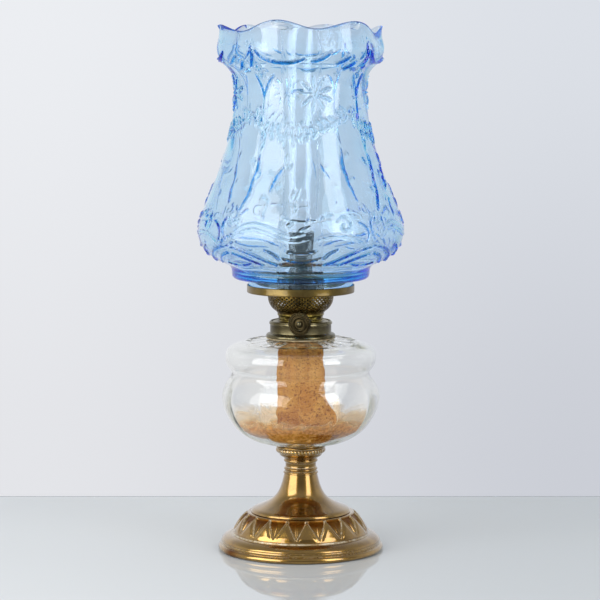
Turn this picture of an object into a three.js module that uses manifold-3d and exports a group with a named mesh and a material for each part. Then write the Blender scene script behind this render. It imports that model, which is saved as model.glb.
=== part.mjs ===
// A kerosene table lamp: brass foot and stem, clear glass fount, round-wick burner with
// a thumb wheel, glass chimney and a six-lobed blue glass shade on a brass ring.
// Millimetres, +Z up, origin at the middle of the foot's flat underside, thumb wheel towards -Y.
import * as THREE from "three";
import Module from "manifold-3d";
import { mergeVertices } from "three/addons/utils/BufferGeometryUtils.js";

const wasm = await Module();
wasm.setup();

// Gaps between pieces
const seatGap = 0.1; // under a piece that rests on another
const fitGap = 0.35; // round a piece that sits in another and stays there
const liftGap = 0.55; // round a piece that lifts or turns out
const cutOverrun = 2; // how far a cutting shape passes the skin it cuts

// Facets round the turned pieces
const petalCount = 18;
const lobeCount = 6;
const footFacets = petalCount * 2;
const shadeFacets = lobeCount * 6;
const fountFacets = 32;
const turnedFacets = 24;
const smallFacets = 16;

// Foot
const footRadius = 78.2;
const footHeight = 35.4;
const footWall = 1.3;
const footBeadRadius = 2.7;
const footFlatWidth = 6;
const petalDepth = 1.7;
const petalPhaseShare = 0.2; // of one petal's turn, from +X

// Foot filling, which weighs the foot down
const fillRecessRadius = 13;
const fillRecessDepth = 9;
const fillUnderside = 3.2;
const bearingSlope = 0.45;

// Tie rod with its nuts and washer
const rodRadius = 3;
const nutAcrossFlats = 10;
const nutHeight = 4;
const washerRadius = 11;
const washerThickness = 1.5;
const rodEndStandsOut = 1;

// Stem
const trumpetFootRadius = 46.2;
const trumpetSeatWidth = 7;
const trumpetTopRadius = 15.6;
const trumpetHeight = 36.6;
const trumpetWall = 1.3;
const knopRadius = 16.5;
const knopHeight = 14.2;
const knopBoreRadius = 9.5;
const cupRadius = 23.9;
const cupFootRadius = 15.4;
const cupHeight = 12.4;
const cupWall = 1.2;

// Fount
const fountRadius = 74.6;
const fountHeight = 101.6;
const fountWall = 3;
const fountNeckRadius = 24.8;
const fountNeckHeight = 8;
const fountNeckWall = 2.6;
const pegRadius = 15.5;
const pegDepth = 5;

// Screw collar on the fount
const collarFlangeRadius = 32.5;
const collarBandRadius = 28.7;
const collarHeight = 15.4;
const collarFlangeHeight = 3.2;
const collarRimRadius = 0.9;
const collarRecessDepth = 3;
const collarWall = 1.2;
const cementRingRadius = 34;
const cementRingHeight = 1.3;

// Burner neck, which screws into the collar
const threadRadius = 24;
const threadLength = 5.4;
const threadWall = 1.2;
const sealThickness = 1;
const neckFlangeThickness = 1.2;
const neckRadius = 20.6;
const neckHeight = 7.4; // from the top of its flange to its top
const neckWall = 1;

// Basket that lets air in
const burnerFloorRadius = 21.9;
const burnerFloorThickness = 1;
const burnerFloorHoleRadius = 1.6;
const burnerFloorHoleCount = 6;
const basketRadius = 31.2;
const basketHeight = 18.6;
const basketWall = 0.9;
const basketFlangeWidth = 7;
const basketHoleRadius = 1.5;
const basketHoleCount = 10;

// Gallery that grips the chimney
const galleryFlangeRadius = 26.6;
const galleryWall = 0.9;
const gallerySeatHeight = 13; // from the basket's top to the chimney's foot
const galleryLedgeWidth = 2.4;
const fingerLength = 12.5;
const fingerSlotWidth = 3.4;
const fingerSlotPairs = 4;
const fingerFlare = 0.8;

// Wick and its tubes
const wickOuterRadius = 10.6;
const wickThickness = 2.2;
const wickGapShare = 0.094; // of a full turn
const tubeWall = 0.6;
const tubeAboveChimneyFoot = 42;
const tubeBelowFloor = 10;
const draughtTubeDrop = 2.5; // how far its top lies below the wick tube's top
const draughtTubeBottomRise = 4;
const draughtFinWidth = 1.8;
const draughtWindowHeight = 8;
const wickFall = 3;
const wickTailWidth = 42.5;
const wickTailBulge = 3.4;
const wickTailClearance = 3; // left under the tail when the wick is lowest
const wickTailSwing = 4;
const wickTailFlareShare = 0.42; // how much wider its tail ends
const wickRipple = 1.1;

// Wick raiser
const spindleRadius = 1.4;
const spindleAboveCollar = 2;
const spindleReach = 46; // from the lamp's axis to the thumb wheel's back
const spindleInnerEnd = 8;
const spurTeeth = 10;
const spurTipRadius = 3.2;
const spurRootRadius = 2.4;
const spurThickness = 1.6;
const spurSpacing = 4.4;
const wheelRadius = 11.1;
const wheelThickness = 1.6;
const wheelBossRadius = 6.4;
const wheelBossHeight = 1;
const wheelRivetRadius = 2.2;
const wheelRivetHeight = 1.4;
const bushRadius = 2.2;
const bushLength = 7;

// Shade ring
const ringWall = 1;
const ringHeight = 7.4;

// Chimney
const chimneyFootRadius = 21;
const chimneyTubeRadius = 18.2;
const chimneyWaistRadius = 17;
const chimneyHeight = 231;
const chimneyShoulderHeight = 56;
const chimneyWall = 1.7;

// Shade
const shadeRadius = 97.5;
const shadeHeight = 249;
const shadeFitterRadius = 49;
const shadeFitterHeight = 11;
const shadeWall = 3;
const shadeLobeDepth = 2.6;
const shadeRimWave = 4;
const shadeRimBead = 0.6;

const shade = { colour: 0x4fa3e8, roughness: 0.05, metalness: 0 };
const clearGlass = { colour: 0xe6eceb, roughness: 0.04, metalness: 0 };
const brass = { colour: 0xa88a45, roughness: 0.32, metalness: 1 };
const darkBrass = { colour: 0x6f5c33, roughness: 0.45, metalness: 1 };
const nickel = { colour: 0x86806c, roughness: 0.38, metalness: 1 };
const plaster = { colour: 0xb79a5c, roughness: 0.9, metalness: 0 };
const castIron = { colour: 0x3c3a38, roughness: 0.8, metalness: 0.6 };
const steel = { colour: 0x8b8a86, roughness: 0.45, metalness: 1 };
const cork = { colour: 0x9a7650, roughness: 0.95, metalness: 0 };
const cotton = { colour: 0xc08a4e, roughness: 0.95, metalness: 0 };

const turn = Math.PI * 2;
const v2 = (x, y) => new THREE.Vector2(x, y);

// Turns a geometry's faces outwards if its volume comes out negative.
function facingOut(geometry) {
  const p = geometry.getAttribute("position");
  const index = geometry.index ? geometry.index.array : [...Array(p.count).keys()];
  const [a, b, c] = [new THREE.Vector3(), new THREE.Vector3(), new THREE.Vector3()];
  let volume = 0;
  for (let i = 0; i < index.length; i += 3) {
    a.fromBufferAttribute(p, index[i]);
    b.fromBufferAttribute(p, index[i + 1]);
    c.fromBufferAttribute(p, index[i + 2]);
    volume += a.dot(b.cross(c));
  }
  const turned = volume < 0 ? Array.from(index).reverse() : Array.from(index);
  geometry.setIndex(turned);
  return geometry;
}

// The closed solid of a geometry, with its shared vertices merged.
function solid(geometry) {
  const bare = new THREE.BufferGeometry();
  bare.setAttribute("position", geometry.getAttribute("position"));
  if (geometry.index) bare.setIndex(geometry.index);
  const merged = mergeVertices(bare, 1e-4);
  return new wasm.Manifold(
    new wasm.Mesh({
      numProp: 3,
      vertProperties: merged.getAttribute("position").array,
      triVerts: new Uint32Array(merged.index.array),
    }),
  );
}

function geometryOf(manifold) {
  const mesh = manifold.getMesh();
  const geometry = new THREE.BufferGeometry();
  geometry.setAttribute("position", new THREE.BufferAttribute(mesh.vertProperties, 3));
  geometry.setIndex(new THREE.BufferAttribute(mesh.triVerts, 1));
  return geometry;
}

const cut = (body, tools) =>
  geometryOf(tools.reduce((left, tool) => left.subtract(solid(tool)), solid(body)));

// A closed outline of radius and height, turned round the Z axis. bend moves each vertex.
function turned(outline, facets, bend, startAngle = 0) {
  const closed = [...outline, outline[0]];
  const geometry = new THREE.LatheGeometry(closed, facets, startAngle, turn).rotateX(turn / 4);
  if (bend) {
    const p = geometry.getAttribute("position");
    for (let i = 0; i < p.count; i++) {
      const angle = Math.atan2(p.getY(i), p.getX(i));
      const moved = bend(Math.hypot(p.getX(i), p.getY(i)), angle, p.getZ(i));
      p.setXYZ(i, moved.radius * Math.cos(angle), moved.radius * Math.sin(angle), moved.z);
    }
  }
  return facingOut(geometry);
}

// Shares of a width and a height as points, from a lowest height.
const scaled = (shares, width, height, from = 0) =>
  shares.map(([across, up]) => v2(across * width, from + up * height));

// An outline's inner copy, one wall to the left of its direction.
function inset(outline, wall) {
  return outline.map((point, i) => {
    const before = outline[Math.max(i - 1, 0)];
    const after = outline[Math.min(i + 1, outline.length - 1)];
    const along = v2(after.x - before.x, after.y - before.y).normalize();
    return v2(point.x - along.y * wall, point.y + along.x * wall);
  });
}

const shellOf = (outline, wall, inner = inset(outline, wall)) => [...outline, ...inner.reverse()];

const ringOutline = (innerRadius, outerRadius, low, high) => [
  v2(innerRadius, low),
  v2(outerRadius, low),
  v2(outerRadius, high),
  v2(innerRadius, high),
];

const tube = (innerRadius, outerRadius, low, high, facets = smallFacets) =>
  turned(ringOutline(innerRadius, outerRadius, low, high), facets);

const box = (x, y, z, low) => new THREE.BoxGeometry(x, y, z).translate(0, 0, low + z / 2);

// A round bar along Y that starts at y = from.
const barAlongY = (radius, from, length, facets = smallFacets) =>
  new THREE.CylinderGeometry(radius, radius, length, facets).translate(0, from + length / 2, 0);

const lamp = new THREE.Group();

function add(name, geometry, finish, parent = lamp) {
  const material = new THREE.MeshStandardMaterial({
    color: finish.colour,
    roughness: finish.roughness,
    metalness: finish.metalness,
  });
  const mesh = new THREE.Mesh(geometry, material);
  mesh.name = name;
  parent.add(mesh);
  return mesh;
}

// Heights of the stack, from the table up
const trumpetBase = footHeight + seatGap;
const knopBase = trumpetBase + trumpetHeight + seatGap;
const cupBase = knopBase + knopHeight + seatGap;
const cupTop = cupBase + cupHeight;
const fountBase = cupTop + seatGap;
const fountShoulder = fountBase + fountHeight;
const fountMouth = fountShoulder + fountNeckHeight;
const collarBase = fountShoulder + cementRingHeight + seatGap;
const collarTop = collarBase + collarHeight;
const collarLedge = collarTop - collarRecessDepth;
const sealBase = collarLedge + seatGap;
const neckFlangeBase = sealBase + sealThickness + seatGap;
const neckFlangeTop = neckFlangeBase + neckFlangeThickness;
const neckTop = neckFlangeTop + neckHeight;
const burnerFloorBase = neckTop + seatGap;
const basketBase = burnerFloorBase + burnerFloorThickness + seatGap;
const basketTop = basketBase + basketHeight;
const ringBase = basketTop + seatGap;
const shadeBase = ringBase + ringWall + seatGap;
const chimneyBase = basketTop + gallerySeatHeight + seatGap;
const tubeTop = chimneyBase + tubeAboveChimneyFoot;
const tubeBottom = burnerFloorBase - tubeBelowFloor;
const spindleHeight = collarTop + spindleAboveCollar;

// Foot: a spun shell with a rolled bead, a rounded band and a dome of pointed petals.
const footBandShares = [
  [0.966, 0.175],
  [0.954, 0.27],
  [0.912, 0.375],
  [0.835, 0.44],
];
const footDomeShares = [
  [0.817, 0.47],
  [0.783, 0.593],
  [0.737, 0.79],
  [0.662, 0.945],
  [0.603, 1],
];
const petalTipShare = 0.52;
const petalTopShare = 0.9;
const footBeadTurnShares = [-1 / 4, -1 / 12, 1 / 12, 1 / 4];

const footFlatInner = footRadius - footBeadRadius - footFlatWidth;

function footOutline() {
  const bead = footBeadTurnShares.map((share) =>
    v2(
      footRadius - footBeadRadius + footBeadRadius * Math.cos(share * turn),
      footBeadRadius + footBeadRadius * Math.sin(share * turn),
    ),
  );
  return [
    v2(footFlatInner, 0),
    ...bead,
    ...scaled(footBandShares, footRadius, footHeight),
    ...scaled(footDomeShares, footRadius, footHeight),
    v2(trumpetFootRadius - trumpetSeatWidth, footHeight),
  ];
}

function footShell() {
  const tipHeight = petalTipShare * footHeight;
  const topHeight = petalTopShare * footHeight;
  const phase = (petalPhaseShare * turn) / petalCount;
  // Each petal is a dart that widens from its tip to its top, pressed into the dome.
  const petals = (radius, angle, z) => {
    const up = THREE.MathUtils.clamp((z - tipHeight) / (topHeight - tipHeight), 0, 1);
    const fade = z > topHeight ? 0 : 1;
    const dart = Math.max(0, Math.cos((angle - phase) * petalCount));
    return { radius: radius - petalDepth * up * dart * fade, z };
  };
  return turned(shellOf(footOutline(), footWall), footFacets, petals, turn / 4 + phase);
}

// Filling: a cast weight that goes in from below and bears up against the shell's band,
// with a recess for the nut.
function footFilling() {
  const side = footFlatInner - liftGap;
  const bandTop = footHeight * footBandShares[footBandShares.length - 1][1];
  const bearing = inset(footOutline(), footWall + fitGap).filter(
    (p) => p.x < side && p.y > fillRecessDepth && p.y < bandTop,
  );
  const sideTop = bearing[0].y - (side - bearing[0].x) * bearingSlope;
  const recessTop = fillUnderside + fillRecessDepth;
  const rodHole = rodRadius + fitGap;
  return turned(
    [
      v2(fillRecessRadius, fillUnderside),
      v2(side, fillUnderside),
      v2(side, sideTop),
      bearing[0],
      v2(rodHole, bearing[0].y),
      v2(rodHole, recessTop),
      v2(fillRecessRadius, recessTop),
    ],
    turnedFacets,
  );
}

// A hexagonal nut on the rod, bored through.
function nut(low) {
  const corner = nutAcrossFlats / 2 / Math.cos(turn / 12);
  const hex = new THREE.Shape();
  for (let i = 0; i < 6; i++) {
    const angle = (turn * i) / 6;
    hex[i ? "lineTo" : "moveTo"](corner * Math.cos(angle), corner * Math.sin(angle));
  }
  hex.holes.push(new THREE.Path().absarc(0, 0, rodRadius + fitGap, 0, turn, true));
  const settings = { depth: nutHeight, bevelEnabled: false, curveSegments: smallFacets / 2 };
  return facingOut(new THREE.ExtrudeGeometry(hex, settings).translate(0, 0, low));
}

const washerBase = fillUnderside + fillRecessDepth - seatGap - washerThickness;
const lowerNutBase = washerBase - seatGap - nutHeight;
const upperNutBase = cupBase + cupWall + seatGap;
const rodBottom = lowerNutBase - rodEndStandsOut;
const rodTop = upperNutBase + nutHeight;

add("foot_shell", footShell(), brass);
add("foot_filling", footFilling(), castIron);
add(
  "base_washer",
  tube(rodRadius + fitGap, washerRadius, washerBase, washerBase + washerThickness),
  steel,
);
add("base_nut", nut(lowerNutBase), steel);
add("tie_rod", tubeRod(rodRadius, rodBottom, rodTop), steel);

function tubeRod(radius, low, high) {
  return new THREE.CylinderGeometry(radius, radius, high - low, smallFacets)
    .rotateX(turn / 4)
    .translate(0, 0, (low + high) / 2);
}

// Stem: a trumpet, a turned knop and the cup that holds the fount.
const trumpetFlareShares = [
  [1, 0.025],
  [0.985, 0.085],
  [0.82, 0.155],
  [0.6, 0.31],
  [0.46, 0.5],
  [0.37, 0.72],
];

function stemTrumpet() {
  const flare = scaled(trumpetFlareShares, trumpetFootRadius, trumpetHeight, trumpetBase);
  const top = trumpetBase + trumpetHeight;
  const outer = [
    v2(trumpetFootRadius - trumpetSeatWidth, trumpetBase),
    v2(trumpetFootRadius - footWall, trumpetBase),
    ...flare,
    v2(trumpetTopRadius, top - trumpetWall),
    v2(trumpetTopRadius, top),
    v2(rodRadius + fitGap, top),
  ];
  return turned(shellOf(outer, trumpetWall), turnedFacets);
}

// Each row is a share of the knop's radius and of its height.
const knopShares = [
  [0.94, 0],
  [1, 0.07],
  [1, 0.15],
  [0.81, 0.21],
  [0.81, 0.32],
  [0.92, 0.4],
  [0.92, 0.5],
  [0.74, 0.62],
  [0.75, 0.76],
  [0.93, 0.86],
  [0.93, 1],
];

function stemKnop() {
  const outer = scaled(knopShares, knopRadius, knopHeight, knopBase);
  return turned(
    [...outer, v2(knopBoreRadius, knopBase + knopHeight), v2(knopBoreRadius, knopBase)],
    turnedFacets,
  );
}

const cupFlareShares = [
  [0.72, 0.14],
  [0.85, 0.42],
  [0.93, 0.7],
  [1, 0.86],
  [1, 1],
];

function fountCup() {
  const flare = scaled(cupFlareShares, cupRadius, cupHeight, cupBase);
  const outer = [v2(rodRadius + fitGap, cupBase), v2(cupFootRadius, cupBase), ...flare];
  return turned(shellOf(outer, cupWall), turnedFacets);
}

// Plaster that beds the fount's peg in the cup, over the nut.
function fountCement() {
  const nutSpace = nutAcrossFlats / 2 / Math.cos(turn / 12) + fitGap;
  const pegSpace = pegRadius + fitGap;
  const pegFloor = fountBase - pegDepth - seatGap;
  const flare = scaled(cupFlareShares, cupRadius, cupHeight, cupBase);
  const low = cupBase + cupWall + seatGap;
  const side = inset([v2(cupFootRadius, cupBase), ...flare], cupWall + fitGap);
  const bedded = side.filter((p) => p.y > low);
  const top = cupTop - fitGap;
  return turned(
    [
      v2(nutSpace, low),
      v2(bedded[0].x - (bedded[0].y - low) / 2, low),
      ...bedded.slice(0, -1),
      v2(bedded[bedded.length - 1].x, top),
      v2(pegSpace, top),
      v2(pegSpace, pegFloor),
      v2(0, pegFloor),
      v2(0, rodTop + seatGap),
      v2(nutSpace, rodTop + seatGap),
    ],
    turnedFacets,
  );
}

add("stem_trumpet", stemTrumpet(), brass);
add("stem_knop", stemKnop(), brass);
add("fount_cup", fountCup(), brass);
add("cup_nut", nut(upperNutBase), steel);
add("fount_cement", fountCement(), plaster);

// Fount: a squat blown vessel with a waist between two lobes, and a peg underneath.
const fountLowerShares = [
  [0.33, 0.006],
  [0.53, 0.032],
  [0.75, 0.118],
  [0.9, 0.235],
  [0.98, 0.35],
  [1, 0.46],
  [0.95, 0.57],
  [0.885, 0.655],
];
const fountUpperShares = [
  [0.871, 0.69],
  [0.905, 0.735],
  [0.945, 0.785],
  [0.952, 0.85],
  [0.93, 0.9],
  [0.84, 0.945],
  [0.66, 0.975],
  [0.48, 0.992],
];

function fountOutline() {
  const lower = scaled(fountLowerShares, fountRadius, fountHeight, fountBase);
  const upper = scaled(fountUpperShares, fountRadius, fountHeight, fountBase);
  return [...lower, ...upper];
}

function fountGlass() {
  const outer = [
    v2(0, fountBase - pegDepth),
    v2(pegRadius, fountBase - pegDepth),
    v2(pegRadius, fountBase),
    ...fountOutline(),
    v2(fountNeckRadius, fountShoulder),
    v2(fountNeckRadius, fountMouth),
  ];
  const hollow = inset(fountOutline(), fountWall);
  const inner = [
    v2(0, fountBase + fountWall),
    v2(pegRadius, fountBase + fountWall),
    ...hollow.filter((p) => p.x > pegRadius && p.y > fountBase + fountWall),
    v2(fountNeckRadius - fountNeckWall, fountShoulder - fountWall),
    v2(fountNeckRadius - fountNeckWall, fountMouth),
  ];
  return turned([...outer, ...inner.reverse()], fountFacets);
}

// Collar and the plaster ring that it is bedded on
function collarCement() {
  const inner = fountNeckRadius + fitGap;
  const base = fountShoulder + seatGap / 2;
  const skirt = collarBandRadius - collarWall - fitGap;
  const top = fountMouth - collarWall;
  return turned(
    [
      v2(inner, base),
      v2(cementRingRadius, base),
      v2(cementRingRadius - cementRingHeight / 2, base + cementRingHeight - seatGap / 2),
      v2(skirt, base + cementRingHeight - seatGap / 2),
      v2(skirt, top),
      v2(inner, top),
    ],
    turnedFacets,
  );
}

function collar() {
  const threadBore = threadRadius + liftGap / 2;
  const flangeTop = collarBase + collarFlangeHeight;
  const recess = collarBandRadius - collarWall;
  const underThread = fountMouth + seatGap;
  return turned(
    [
      v2(recess, collarBase),
      v2(collarFlangeRadius, collarBase),
      v2(collarFlangeRadius, collarBase + collarFlangeHeight * 0.4),
      v2(collarBandRadius + collarRimRadius, flangeTop),
      v2(collarBandRadius, flangeTop + collarRimRadius),
      v2(collarBandRadius, collarTop - 2.4 * collarRimRadius),
      v2(collarBandRadius + collarRimRadius, collarTop - 1.5 * collarRimRadius),
      v2(collarBandRadius + collarRimRadius, collarTop - 0.5 * collarRimRadius),
      v2(collarBandRadius, collarTop),
      v2(recess, collarTop),
      v2(recess, collarLedge),
      v2(threadBore, collarLedge),
      v2(threadBore, underThread),
      v2(recess, underThread),
    ],
    turnedFacets,
  );
}

add("fount_glass", fountGlass(), clearGlass);
add("collar_cement", collarCement(), plaster);
add("collar", collar(), nickel);

// Burner neck: a threaded skirt, a flange on the seal and a plain neck.
const flangeRadius = collarBandRadius - collarWall - liftGap;
const neckBore = neckRadius - neckWall;
const skirtBore = threadRadius - threadWall;

function burnerNeck() {
  const skirtBottom = neckFlangeBase - threadLength - sealThickness;
  const body = turned(
    [
      v2(threadRadius - fitGap / 2, skirtBottom),
      v2(threadRadius - fitGap / 2, neckFlangeBase),
      v2(flangeRadius, neckFlangeBase),
      v2(flangeRadius, neckFlangeTop),
      v2(neckRadius, neckFlangeTop),
      v2(neckRadius, neckTop - 1.5 * neckWall),
      v2(burnerFloorRadius, neckTop - neckWall),
      v2(burnerFloorRadius, neckTop),
      v2(neckBore, neckTop),
      v2(neckBore, neckFlangeBase),
      v2(skirtBore, neckFlangeBase - threadWall),
      v2(skirtBore, skirtBottom),
    ],
    turnedFacets,
  );
  const bushHole = barAlongY(bushRadius + fitGap, -neckRadius - cutOverrun, neckRadius);
  return cut(body, [bushHole.translate(spindleOffset, 0, spindleHeight)]);
}

function burnerFloor() {
  const hole = wickOuterRadius + 2 * fitGap + tubeWall;
  const disc = tube(hole, burnerFloorRadius, burnerFloorBase, basketBase - seatGap, turnedFacets);
  const holeRing = (hole + neckBore) / 2;
  const holes = [];
  for (let i = 0; i < burnerFloorHoleCount; i++) {
    const angle = (turn * (i + 0.5)) / burnerFloorHoleCount;
    holes.push(
      new THREE.CylinderGeometry(
        burnerFloorHoleRadius,
        burnerFloorHoleRadius,
        burnerFloorThickness + cutOverrun,
        6,
      )
        .rotateX(turn / 4)
        .translate(
          holeRing * Math.cos(angle),
          holeRing * Math.sin(angle),
          burnerFloorBase + burnerFloorThickness / 2,
        ),
    );
  }
  return cut(disc, holes);
}

// Air basket: a bowl of sheet brass with two staggered rows of holes.
const basketShares = [
  [0.7, 0],
  [0.83, 0.16],
  [0.93, 0.38],
  [0.985, 0.64],
  [1, 0.94],
];
const basketRowShares = [0.34, 0.68];

function airBasket() {
  const side = scaled(basketShares, basketRadius, basketHeight, basketBase);
  const outer = [
    v2(burnerFloorRadius - basketWall * 2, basketBase),
    ...side,
    v2(basketRadius, basketTop),
    v2(basketRadius - basketFlangeWidth, basketTop),
  ];
  const bowl = turned(shellOf(outer, basketWall), turnedFacets);
  const holes = [];
  basketRowShares.forEach((share, row) => {
    for (let i = 0; i < basketHoleCount; i++) {
      const angle = (turn * (i + row / 2)) / basketHoleCount;
      holes.push(
        new THREE.CylinderGeometry(basketHoleRadius, basketHoleRadius, basketRadius, 5)
          .rotateZ(turn / 4)
          .translate(basketRadius, 0, 0)
          .rotateZ(angle)
          .translate(0, 0, basketBase + share * basketHeight),
      );
    }
  });
  return cut(bowl, holes);
}

// Gallery: a flange, a cone up to the chimney's ledge and a crown of spring fingers.
function chimneyGallery() {
  const inside = chimneyFootRadius + fitGap;
  const ledge = chimneyBase - seatGap;
  const base = ringBase;
  const fingerTop = chimneyBase + fingerLength;
  const ledgeInner = inside - galleryLedgeWidth;
  const body = turned(
    [
      v2(inside + galleryWall, base),
      v2(galleryFlangeRadius, base),
      v2(galleryFlangeRadius, base + galleryWall),
      v2(inside + 2 * galleryWall, base + galleryWall),
      v2(inside + galleryWall, base + 3 * galleryWall),
      v2(inside + galleryWall, fingerTop - 2 * galleryWall),
      v2(inside + galleryWall + fingerFlare, fingerTop),
      v2(inside + fingerFlare, fingerTop),
      v2(inside, fingerTop - 2 * galleryWall),
      v2(inside, ledge),
      v2(ledgeInner, ledge),
      v2(ledgeInner, ledge - galleryWall),
      v2(inside, ledge - galleryWall),
      v2(inside, base + 3 * galleryWall),
    ],
    turnedFacets,
  );
  const slots = [];
  const across = 2 * (inside + galleryWall + fingerFlare + cutOverrun);
  for (let i = 0; i < fingerSlotPairs; i++) {
    const slot = box(across, fingerSlotWidth, fingerLength, chimneyBase + galleryWall);
    slots.push(slot.rotateZ((turn / 2 / fingerSlotPairs) * (i + 0.5)));
  }
  return cut(body, slots);
}

// Wick raiser: the spindle lies beside the wick tube, and its toothed wheels reach the wick
// through a window in the tube.
const spindleOffset = wickOuterRadius + spurTipRadius + fitGap / 2;
const tubeBore = wickOuterRadius + fitGap;
const tubeRadius = tubeBore + tubeWall;

function wickTube() {
  const body = tube(tubeBore, tubeRadius, tubeBottom, tubeTop, turnedFacets);
  const reach = spurSpacing + spurThickness + 2 * liftGap;
  const window = box(tubeWall + wickThickness + cutOverrun, reach, 2 * (spurTipRadius + liftGap), 0);
  window.translate(tubeRadius, 0, spindleHeight - spurTipRadius - liftGap);
  const airWindow = box(draughtFinWidth * 2, tubeRadius, draughtWindowHeight, 0);
  airWindow.translate(0, tubeRadius, basketBase);
  return cut(body, [window, airWindow]);
}

// Draught tube inside the wick, held to the wick tube by a fin in the wick's gap.
function draughtTube() {
  const outside = wickOuterRadius - wickThickness - fitGap;
  const low = basketBase + draughtTubeBottomRise;
  const high = tubeTop - draughtTubeDrop;
  const body = tube(outside - tubeWall, outside, low, high, turnedFacets);
  const finReach = tubeBore - fitGap - (outside - tubeWall / 2);
  const finLow = low + draughtWindowHeight;
  const fin = box(draughtFinWidth, finReach, high - finLow, finLow);
  fin.translate(0, outside - tubeWall / 2 + finReach / 2, 0);
  return geometryOf(solid(body).add(solid(fin)));
}

add(
  "burner_seal",
  tube(threadRadius + fitGap, flangeRadius, sealBase, sealBase + sealThickness, turnedFacets),
  cork,
);
add("burner_neck", burnerNeck(), brass);
add("burner_floor", burnerFloor(), darkBrass);
add("air_basket", airBasket(), darkBrass);
add("chimney_gallery", chimneyGallery(), darkBrass);
add("wick_tube", wickTube(), darkBrass);
add("draught_tube", draughtTube(), darkBrass);

// Wick: a woven band, rolled nearly into a tube in the burner, that opens out below it and
// hangs into the fount, where its tail swings to one side.
const wickAcross = 12;
const wickRowShares = [0, 0.35, 0.495, 0.515, 0.54, 0.565, 0.59, 0.64, 0.72, 0.8, 0.87, 0.94, 1];
const wickOpeningShare = 0.495; // down to here it stays rolled
const wickOpenShare = 0.59; // from here it hangs open
const wickSwingShare = 0.78; // from here its tail spreads and swings

function wick() {
  const top = tubeTop - seatGap;
  const bottom = fountBase + fountWall + wickFall + wickTailClearance;
  const length = top - bottom;
  const middle = wickOuterRadius - wickThickness / 2;
  const rolled = turn * (1 - wickGapShare);
  const spread = wickTailWidth / 2;
  // A point on the band's middle surface: across runs from -1 to 1, down is a share of its length.
  const place = (across, down) => {
    const opened = THREE.MathUtils.smoothstep(down, wickOpeningShare, wickOpenShare);
    const swung = THREE.MathUtils.smoothstep(down, wickSwingShare, 1);
    const angle = (across * rolled) / 2;
    const roll = v2(middle * Math.sin(angle), -middle * Math.cos(angle));
    const flat = v2(
      across * spread * (1 + wickTailFlareShare * swung) + wickTailSwing * swung,
      -wickTailBulge * (1 - across * across) + wickRipple * Math.sin(across * turn + 9 * down),
    );
    const point = roll.lerp(flat, opened);
    const lift = swung * (across + 1) * (across + 1) * wickRipple;
    return new THREE.Vector3(point.x, point.y, top - down * length + lift);
  };
  const step = 1e-3;
  // The band's two faces lie half its thickness either side of that surface.
  const face = (side) =>
    wickRowShares.map((down) =>
      Array.from({ length: wickAcross + 1 }, (_, i) => {
        const across = (2 * i) / wickAcross - 1;
        const here = place(across, down);
        const sideways = place(Math.min(across + step, 1), down).sub(
          place(Math.max(across - step, -1), down),
        );
        const normal = v2(sideways.y, -sideways.x).normalize();
        here.x += (normal.x * side * wickThickness) / 2;
        here.y += (normal.y * side * wickThickness) / 2;
        return here;
      }),
    );
  const faces = [face(1), face(-1)];
  const rows = wickRowShares.length;
  const columns = wickAcross + 1;
  const positions = faces.flat(2).flatMap((p) => [p.x, p.y, p.z]);
  const at = (side, row, column) => side * rows * columns + row * columns + column;
  const index = [];
  const quad = (a, b, c, d) => index.push(a, b, c, a, c, d);
  for (let r = 0; r + 1 < rows; r++) {
    for (let c = 0; c + 1 < columns; c++) {
      quad(at(0, r, c), at(0, r + 1, c), at(0, r + 1, c + 1), at(0, r, c + 1));
      quad(at(1, r, c), at(1, r, c + 1), at(1, r + 1, c + 1), at(1, r + 1, c));
    }
    quad(at(0, r, 0), at(1, r, 0), at(1, r + 1, 0), at(0, r + 1, 0));
    quad(
      at(0, r, columns - 1),
      at(0, r + 1, columns - 1),
      at(1, r + 1, columns - 1),
      at(1, r, columns - 1),
    );
  }
  for (let c = 0; c + 1 < columns; c++) {
    quad(at(0, 0, c), at(0, 0, c + 1), at(1, 0, c + 1), at(1, 0, c));
    quad(at(0, rows - 1, c), at(1, rows - 1, c), at(1, rows - 1, c + 1), at(0, rows - 1, c + 1));
  }
  const geometry = new THREE.BufferGeometry();
  geometry.setAttribute("position", new THREE.Float32BufferAttribute(positions, 3));
  geometry.setIndex(index);
  return facingOut(geometry);
}

add("wick", wick(), cotton);

// Raiser pieces share one frame whose origin is on the spindle, level with the lamp's axis.
const raiser = new THREE.Group();
raiser.position.set(spindleOffset, 0, spindleHeight);
lamp.add(raiser);

const wheelBack = -spindleReach;
const wheelFront = wheelBack - wheelThickness;
const boreGap = fitGap / 2;

function spurWheel(middle) {
  const star = new THREE.Shape();
  for (let i = 0; i < spurTeeth * 2; i++) {
    const radius = i % 2 ? spurRootRadius : spurTipRadius;
    const angle = (turn * i) / spurTeeth / 2;
    star[i ? "lineTo" : "moveTo"](radius * Math.cos(angle), radius * Math.sin(angle));
  }
  star.holes.push(new THREE.Path().absarc(0, 0, spindleRadius + boreGap, 0, turn, true));
  const settings = { depth: spurThickness, bevelEnabled: false, curveSegments: 6 };
  const wheel = new THREE.ExtrudeGeometry(star, settings).rotateX(turn / 4);
  return facingOut(wheel.translate(0, middle + spurThickness / 2, 0));
}

// A disc, boss or bore turned round the spindle, from an outline of radius and reach towards -Y.
const turnedOnSpindle = (outline, facets) => turned(outline, facets).rotateX(turn / 4);

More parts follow.
